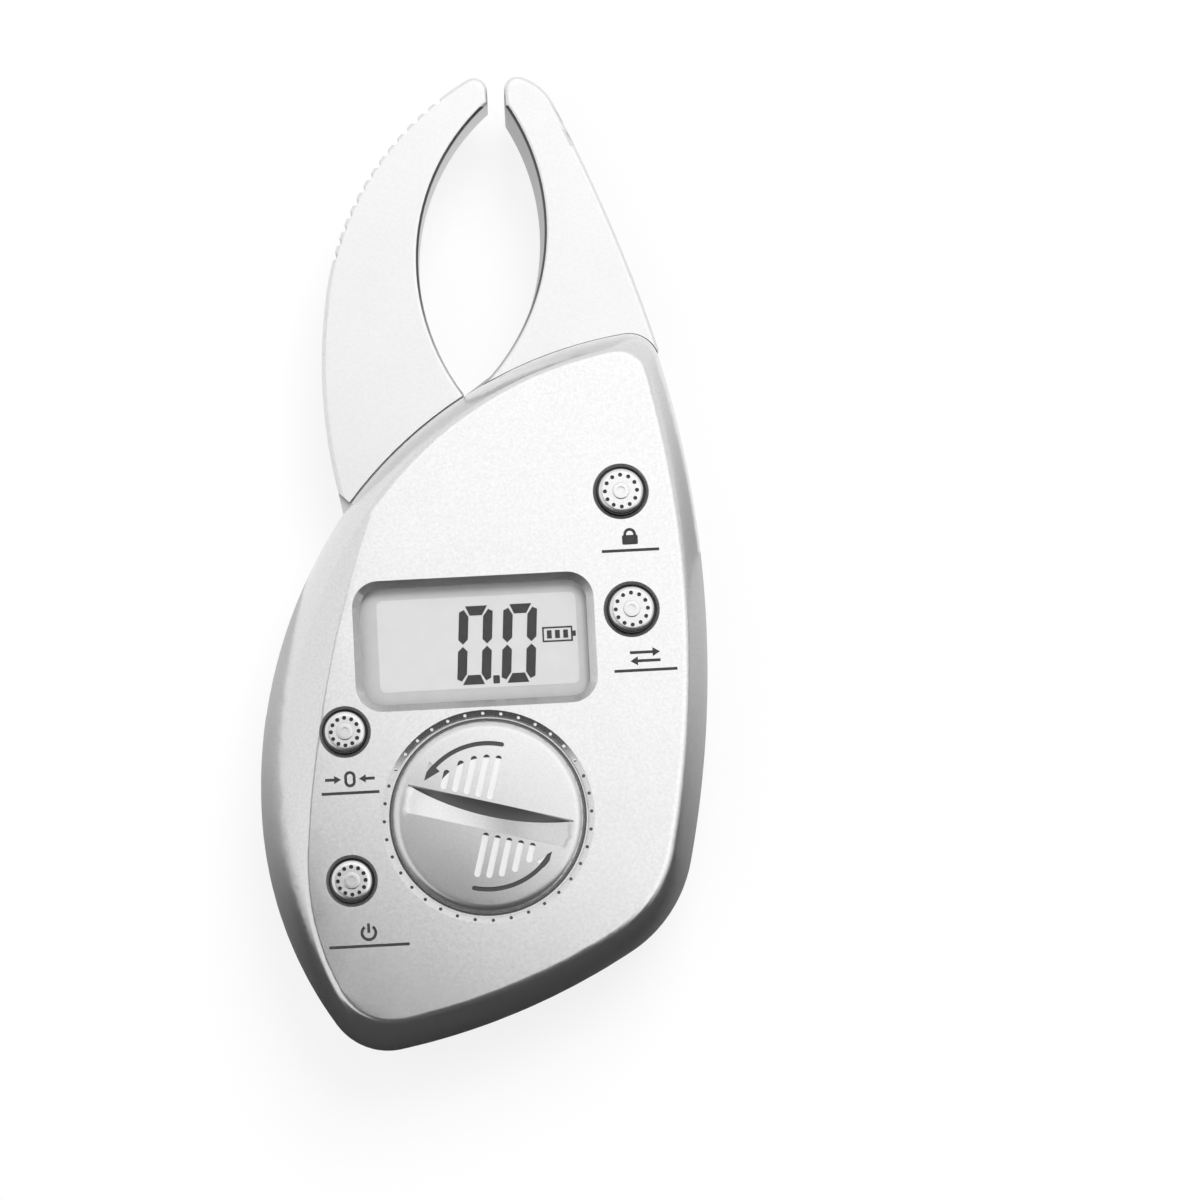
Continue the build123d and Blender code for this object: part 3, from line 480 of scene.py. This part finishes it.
SPRING_STEEL = Finish("drawn_steel", (0.42, 0.42, 0.43), (0.5, 0.5, 0.5), metallic=1.0, roughness=0.28, grain=0.3 * MM)
ZINC = Finish("zinc_plate", (0.55, 0.56, 0.57), (0.64, 0.64, 0.63), metallic=1.0, roughness=0.32, grain=0.5 * MM)
NICKEL = Finish("nickel_plate", (0.66, 0.64, 0.60), (0.72, 0.70, 0.66), metallic=1.0, roughness=0.2, grain=1.0 * MM)
COPPER = Finish("etched_copper", (0.60, 0.33, 0.16), (0.68, 0.40, 0.20), metallic=0.9, roughness=0.35, grain=0.6 * MM)
BOARD = Finish("board_lacquer", (0.015, 0.10, 0.045), (0.02, 0.13, 0.06), roughness=0.35, coat=0.4, grain=1.2 * MM)
RESIN = Finish("chip_resin", (0.01, 0.01, 0.01), (0.02, 0.02, 0.02), roughness=0.3, coat=0.3)
SWITCH_PLASTIC = Finish("switch_plastic", (0.015, 0.015, 0.015), (0.03, 0.03, 0.03), roughness=0.5, bump=0.004 * MM)


# ---- mesh tools ------------------------------------------------------------


def select_only(piece: bpy.types.Object) -> None:
    """Makes one object the only selected and the active one."""
    bpy.ops.object.select_all(action="DESELECT")
    piece.select_set(True)
    bpy.context.view_layer.objects.active = piece


def smooth_copy(node: str, angle: float = 32.0) -> bpy.types.Object:
    """Copies a CAD node, joins its triangles and smooths its shading.

    Args:
        node: Name of the CAD node, which the copy replaces.
        angle: Edges sharper than this angle in degrees stay sharp.

    Returns:
        The copy, riding on the node's body.
    """
    source = frame["nodes"][node]
    bpy.ops.object.select_all(action="DESELECT")
    made = bpy.data.objects.new(node + "_shell", source.data.copy())
    bpy.context.scene.collection.objects.link(made)
    made.data.materials.clear()
    select_only(made)
    bpy.ops.object.mode_set(mode="EDIT")
    bpy.ops.mesh.select_all(action="SELECT")
    bpy.ops.mesh.remove_doubles(threshold=0.0005 * MM)
    bpy.ops.mesh.customdata_custom_splitnormals_clear()
    bpy.ops.object.mode_set(mode="OBJECT")
    bpy.ops.object.shade_smooth_by_angle(angle=math.radians(angle))
    bpy.ops.object.modifier_add(type="WEIGHTED_NORMAL")
    made.modifiers[-1].keep_sharp = True
    bpy.ops.object.modifier_apply(modifier=made.modifiers[-1].name)
    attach(made, source["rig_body"])
    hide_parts(node)
    return made


def dress(piece: bpy.types.Object, finish: Finish) -> None:
    """Gives a piece one material."""
    piece.data.materials.clear()
    piece.data.materials.append(finish.material())


def flat_shape(name: str, outlines: Sequence[Sequence[Place]], bottom: float, height: float) -> bpy.types.Object:
    """Thin solid with flat ends over one or more closed outlines.

    Args:
        name: Name of the piece.
        outlines: Corners of each outline, counter-clockwise.
        bottom: Height of the underside.
        height: Thickness.

    Returns:
        The piece, at the origin.
    """
    corners: List[Tuple[float, float, float]] = []
    faces: List[List[int]] = []
    for outline in outlines:
        start = len(corners)
        corners += [(across, along, bottom) for across, along in outline]
        faces.append(list(range(start, start + len(outline))))
    mesh = bpy.data.meshes.new(name)
    mesh.from_pydata(corners, [], faces)
    made = bpy.data.objects.new(name, mesh)
    bpy.context.scene.collection.objects.link(made)
    select_only(made)
    bpy.ops.object.mode_set(mode="EDIT")
    bpy.ops.mesh.select_all(action="SELECT")
    bpy.ops.mesh.extrude_region_move(TRANSFORM_OT_translate={"value": (0.0, 0.0, height)})
    bpy.ops.mesh.select_all(action="SELECT")
    bpy.ops.mesh.normals_make_consistent(inside=False)
    bpy.ops.object.mode_set(mode="OBJECT")
    return made


def arc_points(centre: Place, radius: float, start: float, end: float, count: int) -> List[Place]:
    """Points along an arc.

    Args:
        centre: Centre of the arc.
        radius: Its radius.
        start: First angle in degrees.
        end: Last angle in degrees.
        count: Number of points.

    Returns:
        The points, from the first angle to the last.
    """
    angles = [math.radians(start + (end - start) * step / (count - 1)) for step in range(count)]
    return [(centre[0] + radius * math.cos(angle), centre[1] + radius * math.sin(angle)) for angle in angles]


def bar(first: Place, second: Place, width: float) -> List[Place]:
    """Outline of a straight bar between two places."""
    along = (Vector(second) - Vector(first)).normalized()
    side = Vector((-along.y, along.x)) * (width / 2)
    start, end = Vector(first), Vector(second)
    return [tuple(point) for point in (start - side, end - side, end + side, start + side)]


def band(centre: Place, radius: float, width: float, start: float, end: float, count: int = 24) -> List[Place]:
    """Outline of an arc-shaped bar."""
    outer = arc_points(centre, radius + width / 2, start, end, count)
    inner = arc_points(centre, radius - width / 2, end, start, count)
    return outer + inner


def rounded_box(centre: Place, size: Place, radius: float, steps: int = 8) -> List[Place]:
    """Outline of a rectangle with round corners."""
    half_x, half_y = size[0] / 2 - radius, size[1] / 2 - radius
    points: List[Place] = []
    for quarter, (sign_x, sign_y) in enumerate(((1, 1), (-1, 1), (-1, -1), (1, -1))):
        corner = (centre[0] + sign_x * half_x, centre[1] + sign_y * half_y)
        points += arc_points(corner, radius, 90.0 * quarter, 90.0 * quarter + 90.0, steps)
    return points


# ---- sub-assemblies --------------------------------------------------------


@dataclass
class Casing:
    """The two halves of the casing.

    Args:
        gap_shade_depth: How far below the face the gap round the battery cover is painted dark, as painted shade.
    """

    gap_shade_depth: float = 0.62 * MM

    def build(self) -> List[bpy.types.Object]:
        """Makes the smooth shells of both covers.

        Returns:
            The shells.
        """
        shells = []
        front = replace(FRONT_SILVER, gap_shade_level=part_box("front_cover")[1].z - self.gap_shade_depth)
        for node, finish in (("front_cover", front), ("back_cover", SILVER)):
            shell = smooth_copy(node)
            dress(shell, finish)
            shells.append(shell)
        return shells


@dataclass
class Jaws:
    """The moving and the fixed jaw."""

    finishes: Tuple[Tuple[str, Finish], ...] = (("moving_jaw", LEFT_JAW), ("fixed_jaw", RIGHT_JAW))

    def build(self) -> List[bpy.types.Object]:
        """Makes the smooth jaws.

        Returns:
            The jaws.
        """
        made = []
        for node, finish in self.finishes:
            jaw = smooth_copy(node)
            dress(jaw, finish)
            made.append(jaw)
        return made


@dataclass
class Display:
    """The window with the liquid crystal panel and its figures.

    Args:
        field_centre: Centre of the lit field.
        field_size: Width and height of the lit field.
        field_corner: Radius of its corners.
        figure_feet: Lower left corners of the figures.
        figure_size: Width and height of a figure.
        stroke: Width of a figure's bars.
        joint: Gap between two bars.
        lean: How far a figure leans to the right over its height, as a share of that height.
        point_box: Lower left corner and size of the decimal point.
        charge_centre: Centre of the battery sign.
        ink_height: Thickness of what is printed or lit.
    """

    field_centre: Place = (-0.2 * MM, 25.7 * MM)
    field_size: Place = (29.2 * MM, 13.5 * MM)
    field_corner: float = 0.9 * MM
    figure_feet: Tuple[Place, ...] = ((-3.55 * MM, 19.5 * MM), (2.95 * MM, 19.5 * MM))
    figure_size: Place = (4.95 * MM, 11.55 * MM)
    stroke: float = 1.4 * MM
    joint: float = 0.17 * MM
    lean: float = 0.075
    point_box: Tuple[Place, Place] = ((1.78 * MM, 19.5 * MM), (0.95 * MM, 1.2 * MM))
    charge_centre: Place = (11.5 * MM, 26.3 * MM)
    ink_height: float = 0.04 * MM

    def _figure(self, foot: Place) -> List[List[Place]]:
        """Bars of a nought.

        Args:
            foot: Its lower left corner.

        Returns:
            The outlines of its six bars.
        """
        wide, high = self.figure_size
        stroke, gap, middle = self.stroke, self.joint, self.figure_size[1] / 2
        notch = stroke * 0.5
        upright = [(0.0, gap + notch), (notch, gap + notch * 0.5), (stroke, stroke + gap), (stroke, middle - gap - notch),
                   (notch, middle - gap), (0.0, middle - gap - notch)]
        flat = [(notch + gap, 0.0), (wide - notch - gap, 0.0), (wide - stroke - gap, stroke), (stroke + gap, stroke)]
        bars = [upright, [(wide - x, y) for x, y in reversed(upright)], flat]
        bars += [[(x, high - y) for x, y in reversed(outline)] for outline in bars]
        return [[(foot[0] + x + self.lean * y, foot[1] + y) for x, y in outline] for outline in bars]

    def build(self) -> List[bpy.types.Object]:
        """Makes the panel's edge, its field, the figures and the charge sign.

        Returns:
            The new pieces.
        """
        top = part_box("lcd_panel")[1].z
        lit = flat_shape("lcd_field", [rounded_box(self.field_centre, self.field_size, self.field_corner)], top, self.ink_height)
        dress(lit, LCD_FIELD)
        outlines = [outline for foot in self.figure_feet for outline in self._figure(foot)]
        (left, low), (wide, tall) = self.point_box
        outlines.append(rounded_box((left + wide / 2, low + tall / 2), (wide, tall), 0.12 * MM, 3))
        figures = flat_shape("lcd_figures", outlines, top + self.ink_height, self.ink_height)
        dress(figures, LCD_INK)
        charge = self._charge_sign(self.charge_centre, top + self.ink_height)
        for piece in (lit, figures, charge):
            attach(piece, Body.CASE.value)
        panel = smooth_copy("lcd_panel")
        dress(panel, LCD_EDGE)
        pane = smooth_copy("display_window")
        dress(pane, WINDOW)
        return [lit, figures, charge, panel, pane]

    def _charge_sign(self, centre: Place, bottom: float) -> bpy.types.Object:
        """Small battery sign beside the figures.

        Args:
            centre: Its centre.
            bottom: Height of its underside.

        Returns:
            The sign.
        """
        x, y = centre
        wide, tall, line = 4.2 * MM, 2.0 * MM, 0.24 * MM
        outlines = [
            bar((x - wide / 2, y - tall / 2), (x + wide / 2, y - tall / 2), line),
            bar((x - wide / 2, y + tall / 2), (x + wide / 2, y + tall / 2), line),
            bar((x - wide / 2, y - tall / 2 - line / 2), (x - wide / 2, y + tall / 2 + line / 2), line),
            bar((x + wide / 2, y - tall / 2 - line / 2), (x + wide / 2, y + tall / 2 + line / 2), line),
            bar((x + wide / 2 + 0.35 * MM, y - 0.4 * MM), (x + wide / 2 + 0.35 * MM, y + 0.4 * MM), 2 * line),
        ]
        outlines += [bar((x + step * MM, y - 0.6 * MM), (x + step * MM, y + 0.6 * MM), 0.7 * MM) for step in (-1.2, 0.0, 1.2)]
        sign = flat_shape("lcd_charge_sign", outlines, bottom, self.ink_height)
        dress(sign, LCD_INK)
        return sign


@dataclass
class Buttons:
    """The four push buttons and the signs printed beside them.

    Args:
        sign_height: Height of the signs.
        stroke: Width of their lines.
        ink_height: Thickness of the print.
        boss_height: Height of a button's middle above its top.
        dish: Radius within which the middle stays plain.
        rim: From a button's widest radius in to the end of its flat top.
        side: From a button's widest radius in to its side.
    """

    sign_height: float = 2.3 * MM
    stroke: float = 0.42 * MM
    ink_height: float = 0.03 * MM
    boss_height: float = 0.2 * MM
    dish: float = 0.8 * MM
    rim: float = 1.2 * MM
    side: float = 0.62 * MM

    def build(self) -> List[bpy.types.Object]:
        """Makes the buttons and their signs.

        Returns:
            The new pieces.
        """
        made = []
        for body in (Body.HOLD, Body.UNIT, Body.ZERO, Body.POWER):
            cap = smooth_copy(body.value)
            dress(cap, self._finish(body))
            made.append(cap)
        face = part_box("front_cover")[1].z
        signs: Dict[Body, Tuple[Place, float, Callable[[Place], List[List[Place]]]]] = {
            Body.HOLD: ((0.95 * MM, -6.75 * MM), 8.4 * MM, self._lock),
            Body.UNIT: ((1.6 * MM, -7.0 * MM), 9.2 * MM, self._swap),
            Body.ZERO: ((0.4 * MM, -6.9 * MM), 8.4 * MM, self._nought),
            Body.POWER: ((2.1 * MM, -7.5 * MM), 11.6 * MM, self._bar_and_ring),
        }
        for body, (shift, width, draw) in signs.items():
            low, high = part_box(body.value)
            centre = ((low.x + high.x) / 2 + shift[0], (low.y + high.y) / 2 + shift[1])
            under = centre[1] - self.sign_height / 2 - 0.85 * MM
            outlines = draw(centre)
            outlines.append(bar((centre[0] - width / 2, under), (centre[0] + width / 2, under), self.stroke))
            sign = flat_shape(body.value + "_sign", outlines, face, self.ink_height)
            dress(sign, LABEL_INK)
            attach(sign, Body.CASE.value)
            made.append(sign)
        return made

    def _finish(self, body: Body) -> Finish:
        """Finish of one button, with the painted shade of its hollows and side in the right place.

        Args:
            body: The button's body.

        Returns:
            The finish.
        """
        low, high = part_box(body.value)
        top, radius = high.z - self.boss_height, (high.x - low.x) / 2
        # Each button's hollows and side carry painted shade.
        return DimpleShadedFinish(body.value + "_paint", (0.70, 0.70, 0.70), (0.76, 0.76, 0.76), metallic=0.92, roughness=0.24,
                             rough_spread=0.06, grain=0.35 * MM, centre=((low.x + high.x) / 2, (low.y + high.y) / 2),
                             radii=(self.dish, radius - self.rim, radius - self.side), heights=(top - 0.7 * MM, top - 0.05 * MM))

    def _lock(self, centre: Place) -> List[List[Place]]:
        """Closed padlock."""
        x, y = centre
        return [
            rounded_box((x, y - 0.45 * MM), (2.3 * MM, 1.4 * MM), 0.2 * MM, 4),
            band((x, y + 0.35 * MM), 0.72 * MM, self.stroke, 0.0, 180.0),
            bar((x - 0.72 * MM, y + 0.36 * MM), (x - 0.72 * MM, y + 0.2 * MM), self.stroke),
            bar((x + 0.72 * MM, y + 0.2 * MM), (x + 0.72 * MM, y + 0.36 * MM), self.stroke),
        ]

    def _arrow(self, tail: Place, tip: Place, head: float) -> List[List[Place]]:
        """Straight arrow."""
        along = (Vector(tip) - Vector(tail)).normalized()
        side = Vector((-along.y, along.x))
        neck = Vector(tip) - along * head
        corners = [neck - side * head * 0.6, Vector(tip), neck + side * head * 0.6]
        return [bar(tail, tuple(neck), self.stroke), [tuple(corner) for corner in corners]]

    def _swap(self, centre: Place) -> List[List[Place]]:
        """Two arrows that point opposite ways."""
        x, y = centre
        return (self._arrow((x - 2.2 * MM, y + 0.62 * MM), (x + 2.2 * MM, y + 0.62 * MM), 1.1 * MM)
                + self._arrow((x + 2.2 * MM, y - 0.62 * MM), (x - 2.2 * MM, y - 0.62 * MM), 1.1 * MM))

    def _nought(self, centre: Place) -> List[List[Place]]:
        """A nought between two arrows that point at it."""
        x, y = centre
        ring = [
            band((x, y + 0.35 * MM), 0.62 * MM, self.stroke, 0.0, 180.0),
            band((x, y - 0.35 * MM), 0.62 * MM, self.stroke, 180.0, 360.0),
            bar((x - 0.62 * MM, y + 0.35 * MM), (x - 0.62 * MM, y - 0.35 * MM), self.stroke),
            bar((x + 0.62 * MM, y - 0.35 * MM), (x + 0.62 * MM, y + 0.35 * MM), self.stroke),
        ]
        return (ring + self._arrow((x - 3.6 * MM, y), (x - 1.3 * MM, y), 1.0 * MM)
                + self._arrow((x + 3.6 * MM, y), (x + 1.3 * MM, y), 1.0 * MM))

    def _bar_and_ring(self, centre: Place) -> List[List[Place]]:
        """A ring that is open at the top, with a bar in the gap."""
        x, y = centre
        radius = 1.0 * MM
        return [
            band((x, y - 0.1 * MM), radius, self.stroke, 125.0, 415.0, 40),
            bar((x, y - 0.1 * MM), (x, y + 1.25 * MM), self.stroke),
        ]


@dataclass
class BatteryCover:
    """The round battery cover with its coin slot."""

    # The cover's finish paints shade and a highlight into its marks and its coin slot.
    finish: MarkShadedFinish = MarkShadedFinish("cover_paint_with_painted_light", (0.66, 0.66, 0.66), (0.72, 0.72, 0.72), metallic=0.92,
                                        roughness=0.29, rough_spread=0.05, grain=0.35 * MM, bump=0.002 * MM,
                                        bump_grain=0.3 * MM)

    def build(self) -> List[bpy.types.Object]:
        """Makes the smooth cover.

        Returns:
            The cover.
        """
        cover = smooth_copy("battery_cover")
        dress(cover, replace(self.finish, top=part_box("battery_cover")[1].z))
        return [cover]


@dataclass
class Insides:
    """The pieces inside the casing, which keep their CAD shapes."""

    finishes: Dict[str, Finish] = field(default_factory=lambda: {
        "pivot_pin": STEEL, "pivot_bush": ACETAL, "thrust_washer": STEEL, "retaining_clip": SPRING_STEEL,
        "rotor_disc": COPPER, "torsion_spring": SPRING_STEEL, "circuit_board": BOARD, "chip_cover": RESIN,
        "switches": SWITCH_PLASTIC, "lcd_frame": WHITE_PLASTIC, "zebra_strips": RUBBER, "coin_cell": NICKEL,
        "negative_contact": NICKEL, "positive_contact": NICKEL, "case_screws": ZINC, "board_screws": ZINC,
    })

    def build(self) -> List[bpy.types.Object]:
        """Dresses the pieces.

        Returns:
            The CAD nodes.
        """
        made = []
        for node, finish in self.finishes.items():
            piece = frame["nodes"][node]
            dress(piece, finish)
            made.append(piece)
        return made


@dataclass
class Card:
    """A plain card that only the gloss of the paint shows.

    Args:
        name: Name of the card.
        centre: Its centre.
        size: Width and height.
        facing: Direction that its lit side faces.
        greys: How bright it is at the start and at the end of its gradient.
        slope: Direction of the gradient.
        span: Places along that direction at which the gradient starts and ends, in metres.
    """

    name: str
    centre: Colour
    size: Place
    facing: Colour
    greys: Place
    slope: Colour = (0.0, 1.0, 0.0)
    span: Place = (0.0, 1.0)

    def build(self) -> bpy.types.Object:
        """Makes the card.

        Returns:
            The card.
        """
        bpy.ops.object.select_all(action="DESELECT")
        bpy.ops.mesh.primitive_plane_add(size=1.0)
        made = bpy.context.active_object
        made.name = self.name
        turn = Vector(self.facing).to_track_quat("Z", "Y").to_matrix().to_4x4()
        made.data.transform(Matrix.Translation(self.centre) @ turn @ Matrix.Diagonal((*self.size, 1.0, 1.0)))
        material = bpy.data.materials.new(self.name)
        tree = Tree(material)
        along = tree.node("ShaderNodeVectorMath", {"operation": "DOT_PRODUCT"}, {0: tree.place(), 1: self.slope}, output="Value")
        glow = tree.node("ShaderNodeEmission", None, {"Color": (1.0, 1.0, 1.0, 1.0),
                                                      "Strength": tree.grade(along, self.span, self.greys)})
        tree.node("ShaderNodeOutputMaterial", None, {"Surface": glow})
        made.data.materials.append(material)
        made.visible_camera = False
        made.visible_diffuse = False
        made.visible_shadow = False
        made.visible_transmission = False
        return made


@dataclass
class Studio:
    """Floor, lamps, cards, world and camera.

    Args:
        camera_place: Where the camera stands.
        camera_turn: Its turns about X, Y and Z in radians, in that order of matrices.
        lens: Focal length in millimetres on a sensor 36 mm wide.
    """

    camera_place: Colour = (0.002, -0.03271708, 0.61671314)
    camera_turn: Colour = (0.10658687, -0.02670454, -0.05097417)
    lens: float = 122.4854
    cards: Tuple[Card, ...] = (
        Card("card_above", (0.29, 0.1, 0.9), (1.22, 1.6), (0.0, 0.0, -1.0), (0.0, 1.38), (0.9, 1.0, 0.0), (-0.065, 0.025)),
        Card("card_low", (0.0, -0.32, 0.0006), (1.6, 0.72), (0.0, 0.0, 1.0), (0.02, 0.6), (0.0, 1.0, 0.0), (-0.035, 0.035)),
        Card("card_low_right", (0.34, 0.19, 0.0006), (0.6, 0.30), (0.0, 0.0, 1.0), (0.42, 0.95), (0.0, 1.0, 0.0), (0.04, 0.09)),
        Card("card_front", (0.0, -0.50, 0.35), (1.6, 0.70), (0.0, 1.0, 0.0), (0.01, 0.01)),
        Card("card_left", (-0.50, -0.22, 0.12), (0.55, 0.24), (1.0, 0.0, 0.0), (0.08, 0.95), (0.0, 1.0, 1.0), (-0.25, 0.25)),
        Card("card_right", (0.55, 0.0, 0.12), (0.8, 0.24), (-1.0, 0.0, 0.0), (0.42, 0.9), (0.0, 1.0, 0.0), (0.05, 0.20)),
    )

    def _lamp(self, name: str, centre: Colour, size: float, power: float) -> None:
        """Square soft lamp that faces the caliper."""
        data = bpy.data.lights.new(name, "AREA")
        data.shape = "SQUARE"
        data.size = size
        data.energy = power
        lamp = bpy.data.objects.new(name, data)
        bpy.context.scene.collection.objects.link(lamp)
        lamp.location = centre
        lamp.rotation_euler = (Vector((0.0, 0.035, 0.01)) - Vector(centre)).to_track_quat("-Z", "Y").to_euler()
        lamp.visible_camera = False
        lamp.visible_glossy = False

    def build(self) -> None:
        """Sets up the whole stage."""
        bpy.ops.object.select_all(action="DESELECT")
        bpy.ops.mesh.primitive_plane_add(size=6.0, location=(0.0, 0.0, -0.05 * MM))
        floor = bpy.context.active_object
        floor.name = "floor"
        floor.data.materials.append(self._floor_material())
        for card in self.cards:
            card.build()
        self._lamp("key_lamp", (0.25, 0.55, 0.9), 0.6, 9.0)
        self._lamp("fill_lamp", (-0.5, -0.2, 0.9), 0.9, 3.0)
        self._world()
        self._camera()

    def _seen(self, tree: Tree) -> Wire:
        """One for rays of the camera, of gloss and through glass."""
        kinds = [tree.node("ShaderNodeLightPath", output=name)
                 for name in ("Is Camera Ray", "Is Glossy Ray", "Is Transmission Ray")]
        total = kinds[0] + kinds[1] + kinds[2]
        return tree.node("ShaderNodeClamp", None, {"Value": total})

    def _floor_material(self) -> bpy.types.Material:
        """Pale floor that keeps the shadow."""
        made = bpy.data.materials.new("floor_pale")
        tree = Tree(made)
        matt = tree.node("ShaderNodeBsdfDiffuse", None, {"Color": (0.86, 0.86, 0.86, 1.0)})
        glow = tree.node("ShaderNodeEmission", None, {"Color": (1.0, 1.0, 1.0, 1.0), "Strength": 1.0})
        mixed = tree.node("ShaderNodeMixShader", None, {0: 0.8 * self._seen(tree), 1: matt, 2: glow})
        tree.node("ShaderNodeOutputMaterial", None, {"Surface": mixed})
        return made

    def _world(self) -> None:
        """Plain soft light from all sides."""
        world = bpy.data.worlds.new("studio_world")
        bpy.context.scene.world = world
        tree = Tree(world)
        seen = self._seen(tree)
        glow = tree.node("ShaderNodeBackground", None, {"Color": (1.0, 1.0, 1.0, 1.0), "Strength": 0.45 + 0.5 * seen})
        tree.node("ShaderNodeOutputWorld", None, {"Surface": glow})

    def _camera(self) -> None:
        """Camera at the photograph's viewing angle."""
        data = bpy.data.cameras.new("camera")
        data.sensor_width = 36.0
        data.lens = self.lens
        data.clip_start = 0.01
        camera = bpy.data.objects.new("camera", data)
        bpy.context.scene.collection.objects.link(camera)
        turn_x, turn_y, turn_z = self.camera_turn
        turn = Matrix.Rotation(turn_x, 4, "X") @ Matrix.Rotation(turn_y, 4, "Y") @ Matrix.Rotation(turn_z, 4, "Z")
        camera.matrix_world = Matrix.Translation(self.camera_place) @ turn
        bpy.context.scene.camera = camera


def main() -> None:
    """Builds every sub-assembly and the stage."""
    logging.basicConfig(level=logging.INFO, format="%(name)s: %(message)s")
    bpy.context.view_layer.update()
    studio = Studio()
    studio.build()
    for assembly in (Casing(), Jaws(), Display(), Buttons(), BatteryCover(), Insides()):
        for piece in assembly.build():
            LOG.info("%s: %s", type(assembly).__name__, piece.name)
    bpy.context.scene.view_settings.view_transform = "Standard"


if __name__ == "__main__":
    main()
